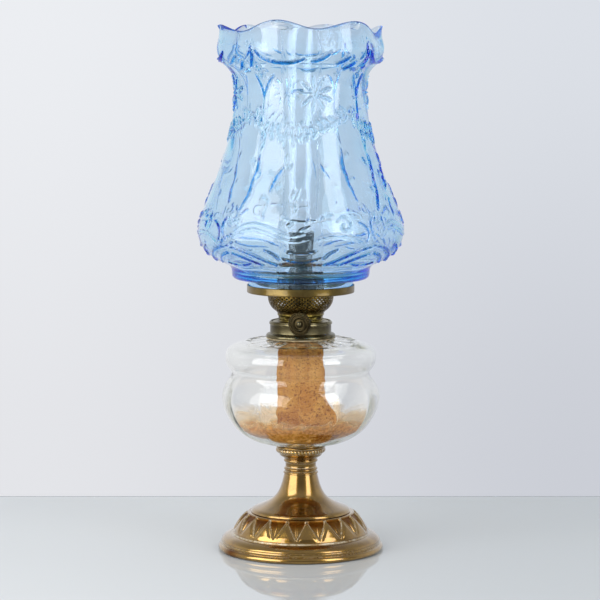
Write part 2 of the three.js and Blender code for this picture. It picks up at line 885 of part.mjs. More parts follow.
function thumbWheel() {
  const bore = spindleRadius + boreGap;
  const rim = wheelThickness / 3;
  return turnedOnSpindle(
    [
      v2(bore, spindleReach),
      v2(wheelRadius - rim, spindleReach),
      v2(wheelRadius, spindleReach + rim),
      v2(wheelRadius, spindleReach + 2 * rim),
      v2(wheelRadius - rim, spindleReach + wheelThickness),
      v2(wheelBossRadius, spindleReach + wheelThickness),
      v2(wheelBossRadius - wheelBossHeight / 2, spindleReach + wheelThickness + wheelBossHeight),
      v2(bore, spindleReach + wheelThickness + wheelBossHeight),
    ],
    turnedFacets,
  );
}

const rivetBase = spindleReach + wheelThickness + wheelBossHeight + seatGap;

function wheelRivet() {
  return turnedOnSpindle(
    [
      v2(0, rivetBase),
      v2(wheelRivetRadius, rivetBase),
      v2(wheelRivetRadius * 0.8, rivetBase + wheelRivetHeight * 0.7),
      v2(0, rivetBase + wheelRivetHeight),
    ],
    smallFacets,
  );
}

const bushFront = -(neckRadius + bushLength / 2) * Math.cos(Math.asin(spindleOffset / neckRadius));

add("spindle", spindle(), steel, raiser);
add("spur_wheel_front", spurWheel(-spurSpacing / 2), brass, raiser);
add("spur_wheel_rear", spurWheel(spurSpacing / 2), brass, raiser);
add("thumb_wheel", thumbWheel(), nickel, raiser);
add("wheel_rivet", wheelRivet(), nickel, raiser);
add("spindle_bush", spindleBush(), brass, raiser);

function spindle() {
  const front = wheelFront - wheelBossHeight;
  return barAlongY(spindleRadius, front, spindleInnerEnd - front, 12);
}

function spindleBush() {
  return turnedOnSpindle(
    ringOutline(spindleRadius + boreGap, bushRadius, -bushFront - bushLength, -bushFront),
    smallFacets,
  );
}

// Ring that carries the shade: a flat plate with an upstanding rim.
function shadeRing() {
  const hole = galleryFlangeRadius + liftGap;
  const inside = shadeFitterRadius + liftGap;
  const top = ringBase + ringHeight;
  return turned(
    [
      v2(hole, ringBase),
      v2(inside + ringWall - ringWall / 2, ringBase),
      v2(inside + ringWall, ringBase + ringWall / 2),
      v2(inside + ringWall, top),
      v2(inside, top),
      v2(inside, ringBase + ringWall),
      v2(hole, ringBase + ringWall),
    ],
    shadeFacets,
  );
}

// Chimney: a wide foot that draws in at the shoulder, then a straight tube.
const chimneyShoulderShares = [
  [0, 0.9],
  [0.45, 0.97],
  [0.85, 1.05],
  [1, 1.12],
];

function chimney() {
  const waistDrop = chimneyFootRadius - chimneyWaistRadius;
  const shoulder = chimneyShoulderShares.map(([inward, up]) =>
    v2(chimneyFootRadius - inward * waistDrop, chimneyBase + up * chimneyShoulderHeight),
  );
  const outer = [
    v2(chimneyFootRadius, chimneyBase),
    ...shoulder,
    v2(chimneyTubeRadius, chimneyBase + 1.3 * chimneyShoulderHeight),
    v2(chimneyTubeRadius, chimneyBase + chimneyHeight),
  ];
  return turned(shellOf(outer, chimneyWall), turnedFacets);
}

// Shade: a fitter, a flange, a wide belly, a narrow neck and a lobed, wavy mouth.
const shadeBellyShares = [
  [0.64, 0.05],
  [0.672, 0.077],
  [0.71, 0.098],
  [0.79, 0.118],
  [0.87, 0.14],
  [0.965, 0.178],
  [1, 0.225],
  [0.975, 0.275],
  [0.905, 0.34],
  [0.81, 0.435],
  [0.735, 0.53],
  [0.685, 0.61],
  [0.645, 0.69],
  [0.63, 0.76],
  [0.645, 0.805],
];
const shadeMouthShares = [
  [0.7, 0.835],
  [0.765, 0.862],
  [0.795, 0.9],
  [0.785, 0.935],
  [0.768, 0.965],
  [0.772, 0.985],
];
const shadeWaveStartShare = 0.88;
const shadeLobeStartShare = 0.5;

function shadeGlass() {
  const flangeHeight = shadeBase + shadeFitterHeight;
  const belly = scaled(shadeBellyShares, shadeRadius, shadeHeight, shadeBase);
  const mouth = scaled(shadeMouthShares, shadeRadius, shadeHeight, shadeBase);
  const rim = mouth[mouth.length - 1];
  const outer = [
    v2(shadeFitterRadius, shadeBase),
    v2(shadeFitterRadius, flangeHeight),
    ...belly,
    ...mouth,
    v2(rim.x + 2 * shadeRimBead, shadeBase + shadeHeight - shadeRimBead),
  ];
  const fitterBore = shadeFitterRadius - shadeWall;
  const inner = inset(outer, shadeWall).filter((p) => p.y > flangeHeight + shadeWall / 2);
  const outline = [
    ...outer,
    ...inner.reverse(),
    v2(fitterBore, flangeHeight + shadeWall),
    v2(fitterBore, shadeBase),
  ];
  const lobes = (radius, angle, z) => {
    const up = (z - shadeBase) / shadeHeight;
    const crest = -Math.cos(lobeCount * angle);
    const deep = THREE.MathUtils.smoothstep(up, shadeLobeStartShare, 1);
    const wave = THREE.MathUtils.smoothstep(up, shadeWaveStartShare, 1);
    return { radius: radius + shadeLobeDepth * crest * deep, z: z + shadeRimWave * crest * wave };
  };
  return turned(outline, shadeFacets, lobes);
}

add("shade_ring", shadeRing(), brass);
add("chimney", chimney(), clearGlass);
add("shade", shadeGlass(), shade);

export default lamp;
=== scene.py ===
import math

import bmesh
import bpy
import numpy as np
from mathutils import Matrix, Vector


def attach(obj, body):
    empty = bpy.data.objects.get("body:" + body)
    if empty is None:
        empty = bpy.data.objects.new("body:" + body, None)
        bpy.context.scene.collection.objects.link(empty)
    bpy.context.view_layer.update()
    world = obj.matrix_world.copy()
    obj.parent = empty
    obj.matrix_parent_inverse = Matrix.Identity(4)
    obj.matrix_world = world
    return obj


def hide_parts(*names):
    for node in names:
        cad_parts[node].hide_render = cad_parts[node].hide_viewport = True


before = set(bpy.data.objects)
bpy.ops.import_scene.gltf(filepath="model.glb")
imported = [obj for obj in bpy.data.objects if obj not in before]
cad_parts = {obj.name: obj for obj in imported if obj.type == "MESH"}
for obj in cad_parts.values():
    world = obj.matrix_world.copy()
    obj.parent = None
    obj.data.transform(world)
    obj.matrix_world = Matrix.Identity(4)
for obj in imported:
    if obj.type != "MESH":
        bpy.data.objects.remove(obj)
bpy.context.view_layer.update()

mm = 0.001
turn = 2 * math.pi
viewAzimuth = 18  # degrees the camera stands round towards +X from the thumb wheel's side


def fromCamera(degrees):
    # World angle, in degrees, of a direction that the camera sees this far to its right.
    return viewAzimuth - 90 + degrees


# Camera at the photograph's angle.

camera = {
    "lens": 147, "distance": 2.303, "pitch": 6.1, "aimHeight": 0.23653, "aimAside": -0.00066,
}


def makeCamera(v):
    data = bpy.data.cameras.new("camera")
    data.lens = v["lens"]
    data.sensor_width = 36
    data.clip_end = 50
    cam = bpy.data.objects.new("camera", data)
    bpy.context.scene.collection.objects.link(cam)
    side = math.radians(viewAzimuth)
    away = Vector((math.sin(side), -math.cos(side), 0))
    right = Vector((math.cos(side), math.sin(side), 0))
    aim = Vector((0, 0, v["aimHeight"])) + right * v["aimAside"]
    pitch = math.radians(v["pitch"])
    place = aim + away * v["distance"] * math.cos(pitch)
    place.z += v["distance"] * math.sin(pitch)
    cam.location = place
    cam.rotation_euler = (aim - place).to_track_quat("-Z", "Y").to_euler()
    bpy.context.scene.camera = cam
    return away, right


away, right = makeCamera(camera)
print("camera set")


# Colours are written as they look, in levels from 0 to 255, and turned to linear here.

def colour(red, green, blue, alpha=1.0):
    def linear(level):
        share = level / 255
        return share / 12.92 if share <= 0.04045 else ((share + 0.055) / 1.055) ** 2.4
    return (linear(red), linear(green), linear(blue), alpha)


# Short ways to wire shader nodes.

def addNode(tree, kind, values=None, **settings):
    made = tree.nodes.new("ShaderNode" + kind)
    for key, value in settings.items():
        setattr(made, key, value)
    for key, value in (values or {}).items():
        if isinstance(value, bpy.types.NodeSocket):
            tree.links.new(value, made.inputs[key])
        else:
            made.inputs[key].default_value = value
    return made


def calc(tree, operation, first, second=0.0, clamp=False):
    return addNode(tree, "Math", {0: first, 1: second}, operation=operation, use_clamp=clamp).outputs[0]


def blend(tree, factor, first, second, mode="MIX"):
    made = addNode(tree, "Mix", {0: factor, 6: first, 7: second}, data_type="RGBA", blend_type=mode)
    return made.outputs[2]


def ramp(tree, value, low, high, start=0.0, end=1.0):
    made = addNode(
        tree, "MapRange", {"Value": value, "From Min": low, "From Max": high, "To Min": start, "To Max": end},
        interpolation_type="SMOOTHSTEP",
    )
    return made.outputs[0]


def noiseAt(tree, place, scale, detail=3.0, rough=0.55, warp=0.0):
    made = addNode(
        tree, "TexNoise",
        {"Vector": place, "Scale": scale, "Detail": detail, "Roughness": rough, "Distortion": warp},
    )
    return made.outputs["Fac"]


def attribute(tree, name):
    return addNode(tree, "Attribute", attribute_name=name).outputs["Fac"]


def addShare(tree, base, extra, share):
    return calc(tree, "ADD", base, calc(tree, "MULTIPLY", extra, share))


def alongWay(tree, place, way):
    return addNode(tree, "VectorMath", {0: place, 1: way}, operation="DOT_PRODUCT").outputs["Value"]


def bumpFrom(tree, height, depth, strength=1.0):
    return addNode(tree, "Bump", {"Height": height, "Strength": strength, "Distance": depth * mm}).outputs[0]


# Shadow rays go through a plain tint, so that a lit piece doesn't black out what stands behind it.
def lightThrough(tree, out, shader, tint):
    clear = addNode(tree, "BsdfTransparent", {"Color": tint}).outputs[0]
    shadow = addNode(tree, "LightPath").outputs["Is Shadow Ray"]
    mixed = addNode(tree, "MixShader", {0: shadow, 1: shader, 2: clear}).outputs[0]
    tree.links.new(mixed, out["Surface"])


def makeGroup(name, inputs, outputs):
    group = bpy.data.node_groups.new(name, "ShaderNodeTree")
    for label, kind, value in inputs:
        socket = group.interface.new_socket(label, in_out="INPUT", socket_type="NodeSocket" + kind)
        socket.default_value = value
    for label, kind in outputs:
        group.interface.new_socket(label, in_out="OUTPUT", socket_type="NodeSocket" + kind)
    return group, group.nodes.new("NodeGroupInput").outputs, group.nodes.new("NodeGroupOutput").inputs


def newMaterial(name):
    material = bpy.data.materials.new(name)
    material.use_nodes = True
    tree = material.node_tree
    tree.nodes.clear()
    out = addNode(tree, "OutputMaterial")
    return material, tree, out.inputs


# Stage: a glossy pale table with a far edge, and a pale backdrop that only some rays see. Both carry painted
# light falloff, and the table a painted shade line along its far edge.

stageLook = {
    "backEdge": 0.264, "reach": 3.0, "thickness": 0.03, "edgeRound": 0.0015,
    # Painted light falloff: the table is lighter at the left and darker at the right.
    "tableLitLeft": colour(235, 238, 239), "tableShadedRight": colour(218, 222, 223), "shine": 0.3, "blur": 0.03,
    "tableFade": 0.26,
    # Painted shade: a darker line along the table's far edge.
    "farLine": colour(156, 164, 169), "farLineWide": 0.004, "farLineBlur": 0.001,
    # Painted light falloff: the backdrop is lightest at the top left and darkest at the low right.
    "backdropTopLeft": colour(236, 238, 242), "backdropTopRight": colour(220, 224, 231),
    "backdropLowLeft": colour(228, 229, 233), "backdropLowRight": colour(203, 206, 214),
    "frameSide": 0.122, "frameTop": 0.02, "frameLow": -0.18,
    "overheadLow": 0.35, "overheadHigh": 0.75, "frontLow": -0.25, "frontHigh": 0.35,
    "studioFront": (0.19, 0.19, 0.195, 1), "studioOver": (0.4, 0.41, 0.425, 1),
    "fill": (0.94, 0.97, 1.0, 1), "fillStrength": 0.52,
}


def makeTable(v):
    bm = bmesh.new()
    bmesh.ops.create_cube(bm, size=1)
    depth = v["reach"] + v["backEdge"]
    bmesh.ops.scale(bm, vec=(2 * v["reach"], depth, v["thickness"]), verts=bm.verts)
    bmesh.ops.translate(bm, vec=(0, v["backEdge"] - depth / 2, -v["thickness"] / 2), verts=bm.verts)
    bmesh.ops.bevel(
        bm, geom=bm.edges, offset=v["edgeRound"], segments=3, profile=0.5, affect="EDGES", material=-1,
    )
    facing = Matrix.Rotation(math.radians(viewAzimuth), 3, "Z")
    bmesh.ops.rotate(bm, cent=(0, 0, 0), matrix=facing, verts=bm.verts)
    mesh = bpy.data.meshes.new("table")
    bm.to_mesh(mesh)
    bm.free()
    table = bpy.data.objects.new("table", mesh)
    bpy.context.scene.collection.objects.link(table)
    material, tree, out = newMaterial("glossyTable")
    place = addNode(tree, "TexCoord").outputs["Object"]
    # Painted light falloff: the table is lighter at the left and darker at the right.
    across = ramp(tree, alongWay(tree, place, right), -v["tableFade"], v["tableFade"])
    tint = blend(tree, across, v["tableLitLeft"], v["tableShadedRight"])
    # Painted shade: a darker line along the table's far edge.
    lineEnd = v["farLineWide"] - v["backEdge"]
    line = ramp(tree, alongWay(tree, place, away), v["farLineBlur"] + lineEnd, lineEnd)
    tint = blend(tree, line, tint, v["farLine"])
    base = addNode(tree, "BsdfDiffuse", {"Color": tint}).outputs[0]
    shine = addNode(tree, "BsdfGlossy", {"Color": (1, 1, 1, 1), "Roughness": v["blur"]}).outputs[0]
    mixed = addNode(tree, "MixShader", {0: v["shine"], 1: base, 2: shine}).outputs[0]
    tree.links.new(mixed, out["Surface"])
    mesh.materials.append(material)
    return table


def makeWorld(v):
    world = bpy.data.worlds.new("studio")
    world.use_nodes = True
    bpy.context.scene.world = world
    tree = world.node_tree
    tree.nodes.clear()
    out = addNode(tree, "OutputWorld").inputs
    heading = addNode(tree, "TexCoord").outputs["Generated"]
    split = addNode(tree, "SeparateXYZ", {"Vector": heading}).outputs
    # Painted light falloff: the backdrop is lightest at the top left and darkest at the low right.
    across = ramp(tree, alongWay(tree, heading, right), -v["frameSide"], v["frameSide"])
    up = ramp(tree, split["Z"], v["frameLow"], v["frameTop"])
    high = blend(tree, across, v["backdropTopLeft"], v["backdropTopRight"])
    low = blend(tree, across, v["backdropLowLeft"], v["backdropLowRight"])
    backdrop = blend(tree, up, low, high)
    overhead = ramp(tree, split["Z"], v["overheadLow"], v["overheadHigh"])
    ahead = ramp(tree, alongWay(tree, heading, away), v["frontLow"], v["frontHigh"])
    reflected = blend(tree, ahead, backdrop, v["studioFront"])
    reflected = blend(tree, overhead, reflected, v["studioOver"])
    through = blend(tree, overhead, backdrop, v["studioOver"])
    path = addNode(tree, "LightPath").outputs
    shown = blend(tree, path["Is Glossy Ray"], backdrop, reflected)
    shown = blend(tree, path["Is Transmission Ray"], shown, through)
    seen = calc(tree, "MAXIMUM", path["Is Camera Ray"], path["Is Glossy Ray"])
    seen = calc(tree, "MAXIMUM", seen, path["Is Transmission Ray"])
    picture = addNode(tree, "Background", {"Color": shown, "Strength": 1.0}).outputs[0]
    fill = addNode(tree, "Background", {"Color": v["fill"], "Strength": v["fillStrength"]}).outputs[0]
    tree.links.new(addNode(tree, "MixShader", {0: seen, 1: fill, 2: picture}).outputs[0], out["Surface"])


# Each softbox is two lamps: one lights matt surfaces, one is only seen in gloss and glass.
glintAhead = 0.03  # metres that the second lamp stands nearer
softboxes = {
    "left": {"at": -52, "distance": 1.35, "low": 0.0, "high": 1.38, "wide": 1.25, "light": 15, "glint": 19},
    "right": {"at": 48, "distance": 1.35, "low": 0.1, "high": 1.5, "wide": 0.6, "light": 6.5, "glint": 9.5},
}


def makeSoftbox(name, v, inGloss, spared):
    data = bpy.data.lights.new(name, "AREA")
    data.shape = "RECTANGLE"
    data.size = v["wide"]
    data.size_y = v["high"] - v["low"]
    data.energy = v["glint"] if inGloss else v["light"]
    lamp = bpy.data.objects.new(name, data)
    bpy.context.scene.collection.objects.link(lamp)
    angle = math.radians(fromCamera(v["at"]))
    middle = (v["high"] + v["low"]) / 2
    distance = v["distance"] - glintAhead * inGloss
    lamp.location = (distance * math.cos(angle), distance * math.sin(angle), middle)
    lamp.rotation_euler = (lamp.location - Vector((0, 0, middle))).to_track_quat("Z", "Y").to_euler()
    lamp.visible_camera = False
    lamp.visible_diffuse = not inGloss
    lamp.visible_glossy = lamp.visible_transmission = inGloss
    if inGloss:
        lamp.light_linking.receiver_collection = spared


# The glossy table doesn't mirror the softboxes, which would lie on it as white panes.
spared = bpy.data.collections.new("sparedByGlints")
spared.objects.link(makeTable(stageLook))
spared.collection_objects[0].light_linking.link_state = "EXCLUDE"
makeWorld(stageLook)
for name, box in softboxes.items():
    makeSoftbox(name + "Softbox", box, False, spared)
    makeSoftbox(name + "Glint", box, True, spared)
cycles = bpy.context.scene.cycles
cycles.use_denoising = True
cycles.max_bounces = cycles.glossy_bounces = cycles.transmission_bounces = 64  # for the shade's edges
cycles.transparent_max_bounces = 24
cycles.caustics_reflective = False
bpy.context.scene.view_settings.view_transform = "Standard"
print("stage set")


# Effects shared by several finishes. Each puts out masks, colours, values and heights only.

def agedMetalGroup():
    group, given, out = makeGroup(
        "agedMetal",
        [
            ("Bright", "Color", colour(200, 160, 80)), ("Worn", "Color", colour(150, 110, 50)),
            ("Tarnish", "Color", colour(90, 60, 35)), ("Residue", "Color", colour(200, 190, 160)),
            ("Tarnish Amount", "Float", 0.4), ("Gloss", "Float", 0.25), ("Turning", "Float", 0.3),
        ],
        [("Color", "Color"), ("Roughness", "Float"), ("Height", "Float")],
    )
    place = addNode(group, "TexCoord").outputs["Object"]
    cloud = noiseAt(group, place, 28, 5, 0.6, 0.4)
    blotch = noiseAt(group, place, 95, 4, 0.6, 0.8)
    speck = noiseAt(group, place, 520, 2, 0.5)
    rings = addNode(group, "Mapping", {"Vector": place, "Scale": (0.6, 0.6, 60)}).outputs[0]
    ringLines = noiseAt(group, rings, 34, 3, 0.7)
    streaks = addNode(group, "Mapping", {"Vector": place, "Scale": (5, 5, 0.7)}).outputs[0]
    runs = noiseAt(group, streaks, 24, 4, 0.6)
    mottle = addShare(group, calc(group, "MULTIPLY", cloud, 0.75), blotch, 0.25)
    worn = ramp(group, mottle, 0.36, 0.68)
    tint = blend(group, worn, given["Bright"], given["Worn"])
    dark = ramp(group, addShare(group, blotch, runs, 0.5), 0.74, 1.04)
    dark = calc(group, "MULTIPLY", dark, given["Tarnish Amount"])
    inside = attribute(group, "tarnish")
    patchy = calc(group, "MULTIPLY", inside, ramp(group, blotch, 0.2, 0.6, 0.5, 1.0))
    dark = calc(group, "MAXIMUM", dark, patchy)
    spots = calc(group, "MULTIPLY", ramp(group, speck, 0.69, 0.76), given["Tarnish Amount"])
    dark = calc(group, "MAXIMUM", dark, spots, True)
    tint = blend(group, dark, tint, given["Tarnish"])
    left = attribute(group, "residue")
    left = calc(group, "MULTIPLY", left, ramp(group, speck, 0.36, 0.58, 0.2, 1.0))
    left = calc(group, "MULTIPLY", left, ramp(group, blotch, 0.34, 0.6, 0.2, 1.0), True)
    tint = blend(group, left, tint, given["Residue"])
    lines = calc(group, "MULTIPLY", calc(group, "SUBTRACT", ringLines, 0.5), given["Turning"])
    rough = given["Gloss"]
    for mask, share in ((worn, 0.06), (dark, 0.2), (left, 0.4), (lines, 0.2)):
        rough = addShare(group, rough, mask, share)
    height = addShare(group, calc(group, "MULTIPLY", blotch, 0.5), speck, 0.12)
    height = calc(group, "ADD", height, lines)
    group.links.new(tint, out["Color"])
    group.links.new(rough, out["Roughness"])
    group.links.new(height, out["Height"])
    return group


agedMetal = agedMetalGroup()
coatRoughness = 0.06
coatIndex = 1.7
metalRelief = 0.025


def metalMaterial(name, bright, worn, tarnish, residue, amount, gloss, turning, lacquer):
    material, tree, out = newMaterial(name)
    aged = tree.nodes.new("ShaderNodeGroup")
    aged.node_tree = agedMetal
    for label, levels in (("Bright", bright), ("Worn", worn), ("Tarnish", tarnish), ("Residue", residue)):
        aged.inputs[label].default_value = colour(*levels)
    for label, value in (("Tarnish Amount", amount), ("Gloss", gloss), ("Turning", turning)):
        aged.inputs[label].default_value = value
    left = attribute(tree, "residue")
    metal = calc(tree, "SUBTRACT", 1.0, calc(tree, "MULTIPLY", left, 0.7), True)
    coat = 0.0
    if lacquer:
        bare = calc(tree, "MULTIPLY", attribute(tree, "tarnish"), lacquer)
        coat = calc(tree, "SUBTRACT", lacquer, bare, True)
    shader = addNode(
        tree, "BsdfPrincipled",
        {
            "Base Color": aged.outputs["Color"], "Roughness": aged.outputs["Roughness"],
            "Metallic": metal, "Coat Weight": coat, "Coat Roughness": coatRoughness, "Coat IOR": coatIndex,
            "Normal": bumpFrom(tree, aged.outputs["Height"], metalRelief),
        },
    )
    tree.links.new(shader.outputs[0], out["Surface"])
    return material


# Bright, worn, tarnish and residue colour, then tarnish amount, gloss, turning marks and lacquer.
metals = {
    "polishedBrass": [(172, 134, 54), (144, 106, 32), (112, 64, 16), (222, 214, 190), 0.35, 0.17, 0.2, 0.9],
    "stemBrass": [(168, 130, 52), (140, 103, 30), (92, 62, 20), (220, 214, 190), 0.35, 0.18, 0.2, 0.9],
    "ringBrass": [(130, 110, 58), (98, 78, 32), (60, 42, 18), (188, 182, 170), 0.6, 0.26, 0.45, 0.3],
    "neckBrass": [(146, 130, 66), (108, 92, 42), (44, 34, 18), (60, 50, 32), 0.55, 0.24, 0.3, 0],
    "darkBronze": [(108, 88, 44), (68, 54, 26), (30, 22, 12), (120, 104, 70), 0.6, 0.3, 0.1, 0],
    "basketBronze": [(122, 100, 48), (70, 55, 25), (20, 14, 7), (104, 88, 56), 0.8, 0.22, 0.1, 0],
    "wheelBronze": [(66, 57, 37), (44, 37, 22), (22, 17, 10), (44, 38, 28), 0.6, 0.28, 0.1, 0],
    "dullNickel": [(130, 122, 94), (92, 83, 56), (48, 40, 25), (66, 60, 44), 0.6, 0.22, 0.35, 0],
    "burnerSteel": [(76, 74, 66), (50, 48, 42), (26, 24, 20), (188, 182, 170), 0.6, 0.4, 0.3, 0],
    "plainSteel": [(170, 168, 164), (132, 128, 122), (96, 72, 54), (188, 182, 170), 0.5, 0.38, 0.4, 0],
}
finishes = {name: metalMaterial(name, *look) for name, look in metals.items()}
print("metal finishes made")


# Glass takes its colour in the volume. Where a piece is marked thick, a deep blue is painted into its colour
# as painted shade.

def glassMaterial(name, tint, shadowTint, depth, waveScale, soak, density, deep=None, mirror=0.5):
    material, tree, out = newMaterial(name)
    place = addNode(tree, "TexCoord").outputs["Object"]
    slow = noiseAt(tree, place, waveScale, 2, 0.5, 0.3)
    fine = noiseAt(tree, place, waveScale * 7, 2, 0.5)
    seeds = addNode(tree, "TexVoronoi", {"Vector": place, "Scale": 120.0}).outputs["Distance"]
    seeds = ramp(tree, seeds, 0.02, 0.07, 0.25, 0.0)
    height = addShare(tree, addShare(tree, slow, fine, 0.12), seeds, 0.2)
    # Painted shade: where marked thick, the glass's colour turns to the deep blue.
    if deep:
        tint = blend(tree, attribute(tree, "thick"), tint, deep)
    glass = addNode(
        tree, "BsdfPrincipled",
        {
            "Base Color": tint, "Roughness": 0.0, "IOR": 1.5, "Transmission Weight": 1.0,
            "Specular IOR Level": mirror, "Normal": bumpFrom(tree, height, depth),
        },
    ).outputs[0]
    lightThrough(tree, out, glass, shadowTint)
    volume = addNode(tree, "VolumeAbsorption", {"Color": soak, "Density": density}).outputs[0]
    tree.links.new(volume, out["Volume"])
    return material


glasses = {
    "fountGlass": {
        "tint": (1, 1, 0.99, 1), "shadowTint": (0.92, 0.92, 0.9, 1), "depth": 0.05, "waveScale": 30,
        "soak": (0.72, 0.72, 0.62, 1), "density": 24,
    },
    "chimneyGlass": {
        "tint": (1, 1, 1, 1), "shadowTint": (0.94, 0.95, 0.95, 1), "depth": 0.03, "waveScale": 24,
        "soak": (0.6, 0.7, 0.7, 1), "density": 5,
    },
    "blueGlass": {
        "tint": (0.99, 0.953, 1, 1), "shadowTint": (0.62, 0.8, 0.97, 1), "depth": 0.04, "waveScale": 22,
        # deep is the painted-shade blue laid where the shade is marked thick.
        "soak": (0.31, 0.83, 0.972, 1), "density": 108, "deep": (0.01, 0.28, 0.93, 1), "mirror": 0.3,
    },
}
for name, look in glasses.items():
    finishes[name] = glassMaterial(name, **look)


# Matt finishes that have no metal: plaster, cork, cast iron, the wick and the oil's residue.

def mattMaterial(name, light, deep, scale, gloss=0.85, relief=0.2, metallic=0.0):
    material, tree, out = newMaterial(name)
    place = addNode(tree, "TexCoord").outputs["Object"]
    grain = noiseAt(tree, place, scale, 6, 0.65)
    patch = noiseAt(tree, place, scale / 7, 4, 0.6, 0.5)
    shade = addShare(tree, calc(tree, "MULTIPLY", grain, 0.5), patch, 0.5)
    tint = blend(tree, ramp(tree, shade, 0.35, 0.65), deep, light)
    shader = addNode(
        tree, "BsdfPrincipled",
        {
            "Base Color": tint, "Roughness": ramp(tree, grain, 0.3, 0.7, gloss, gloss * 0.8),
            "Metallic": metallic, "Normal": bumpFrom(tree, grain, relief, 0.8),
        },
    )
    tree.links.new(shader.outputs[0], out["Surface"])
    return material


finishes["plaster"] = mattMaterial("plaster", colour(206, 192, 156), colour(160, 138, 96), 420)
finishes["cork"] = mattMaterial("cork", colour(150, 112, 74), colour(92, 62, 38), 700)
finishes["castIron"] = mattMaterial("castIron", colour(74, 70, 66), colour(44, 40, 38), 360, 0.75, 0.3, 0.5)
print("glass and matt finishes made")


# Outlines are (radius, height) in millimetres. A run of more than two points is a smooth
# line through them, and runs join at a corner.

def throughPoints(points, step):
    place = np.array(points, float)
    gaps = np.linalg.norm(np.diff(place, axis=0), axis=1)
    slopes = np.diff(place, axis=0) / gaps[:, None]
    middle = slopes[:-1] * gaps[1:, None] + slopes[1:] * gaps[:-1, None]
    middle /= (gaps[1:] + gaps[:-1])[:, None]
    tangents = np.vstack([slopes[:1], middle, slopes[-1:]])
    line = []
    for i, gap in enumerate(gaps):
        count = max(1, round(gap / step))
        for t in np.arange(count) / count:
            line.append(
                (2 * t**3 - 3 * t**2 + 1) * place[i] + (t**3 - 2 * t**2 + t) * gap * tangents[i]
                + (3 * t**2 - 2 * t**3) * place[i + 1] + (t**3 - t**2) * gap * tangents[i + 1]
            )
    return [tuple(point) for point in line] + [tuple(place[-1])]


def outline(*runs, step=1.2):
    line = []
    for run in runs:
        for point in throughPoints(run, step) if len(run) > 2 else run:
            if not line or math.dist(point, line[-1]) > 0.02:
                line.append(tuple(point))
    return line


def offsetLine(line, wall):
    place = np.array(line)
    along = np.gradient(place, axis=0)
    along /= np.linalg.norm(along, axis=1)[:, None]
    return [tuple(point) for point in place + np.stack([-along[:, 1], along[:, 0]], 1) * wall]


# Spins the closed line of an outer and an inner run. One share of the turn is spun and copied round.
def spinLine(outer, inner, steps, aboutY=False):
    bm = bmesh.new()
    side = bm.verts.layers.float.new("side")
    verts = []
    for isOuter, line in ((1, outer), (0, inner)):
        for radius, height in line:
            spot = (radius * mm, -height * mm, 0) if aboutY else (radius * mm, 0, height * mm)
            vert = bm.verts.new(spot)
            vert[side] = isOuter
            verts.append(vert)
    edges = [bm.edges.new(pair) for pair in zip(verts, verts[1:] + verts[:1])]
    shares = math.gcd(steps, 24)
    axis = (0, 1, 0) if aboutY else (0, 0, 1)
    bmesh.ops.spin(
        bm, geom=verts + edges, cent=(0, 0, 0), axis=axis, dvec=(0, 0, 0), angle=turn / shares,
        steps=steps // shares, use_merge=False, use_duplicate=False,
    )
    sector = bm.verts[:] + bm.edges[:] + bm.faces[:]
    for share in range(1, shares):
        copied = bmesh.ops.duplicate(bm, geom=sector)["geom"]
        bmesh.ops.rotate(
            bm, cent=(0, 0, 0), matrix=Matrix.Rotation(turn * share / shares, 3, axis),
            verts=[part for part in copied if isinstance(part, bmesh.types.BMVert)],
        )
    bmesh.ops.remove_doubles(bm, verts=bm.verts, dist=0.004 * mm)
    bmesh.ops.recalc_face_normals(bm, faces=bm.faces)
    return bm


def makePiece(name, bm, finish, body, replaced=(), sharp=38, carve=None):
    mesh = bpy.data.meshes.new(name)
    bm.to_mesh(mesh)
    bm.free()
    if carve:
        carveMesh(mesh, carve)
    mesh.materials.append(finishes[finish])
    mesh.shade_smooth()
    mesh.set_sharp_from_angle(angle=math.radians(sharp))
    piece = bpy.data.objects.new(name, mesh)
    bpy.context.scene.collection.objects.link(piece)
    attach(piece, body)
    if replaced:
        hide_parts(*replaced)
    return piece


def readFloats(items, key, width=1):
    values = np.empty(len(items) * width, np.float32)
    items.foreach_get(key, values)
    return values.reshape(-1, width).astype(float) if width > 1 else values.astype(float)


# Raises or sinks vertices along their normals, by what carve says of their radius, angle and height.
def carveMesh(mesh, carve):
    place = readFloats(mesh.vertices, "co", 3)
    normals = readFloats(mesh.vertex_normals, "vector", 3)
    outer = readFloats(mesh.attributes["side"].data, "value") > 0.5
    x, y, z = (place / mm).T
    raised, masks = carve(np.hypot(x, y), np.degrees(np.arctan2(y, x)), z, outer)
    place += normals * np.asarray(raised)[:, None] * mm
    mesh.vertices.foreach_set("co", place.astype(np.float32).ravel())
    mesh.update()
    for label, values in masks.items():
        layer = mesh.attributes.new(label, "FLOAT", "POINT")
        layer.data.foreach_set("value", np.clip(values, 0, 1).astype(np.float32))


def smooth(value, low, high):
    t = np.clip((value - low) / (high - low), 0, 1)
    return t * t * (3 - 2 * t)


def near(value, middle, spread):
    return np.exp(-(((value - middle) / spread) ** 2))


# A wave that runs this many times round the lamp.
def wave(angle, times, along=0.0, ahead=0.0):
    return np.sin(np.radians(times * angle + ahead) + along)


# Degrees from the middle of the pitch that an angle lies in.
def offMiddle(angle, middle, pitch=360):
    return (angle - middle + pitch / 2) % pitch - pitch / 2


# Foot: spun brass with a rolled bead, a rounded band and a dome of pressed darts and leaves.

foot = {
    "steps": 540, "petals": 18, "dartAt": fromCamera(-4), "dartLow": 17.6, "dartHigh": 34.3,
    "dartDepth": 1.5, "edgeRise": 0.42, "edgeWidth": 0.62, "veinRise": 0.75, "veinWidth": 0.6,
    "leafRise": 0.9, "dents": 0.1, "wearAt": -57, "wearWide": 9,
}


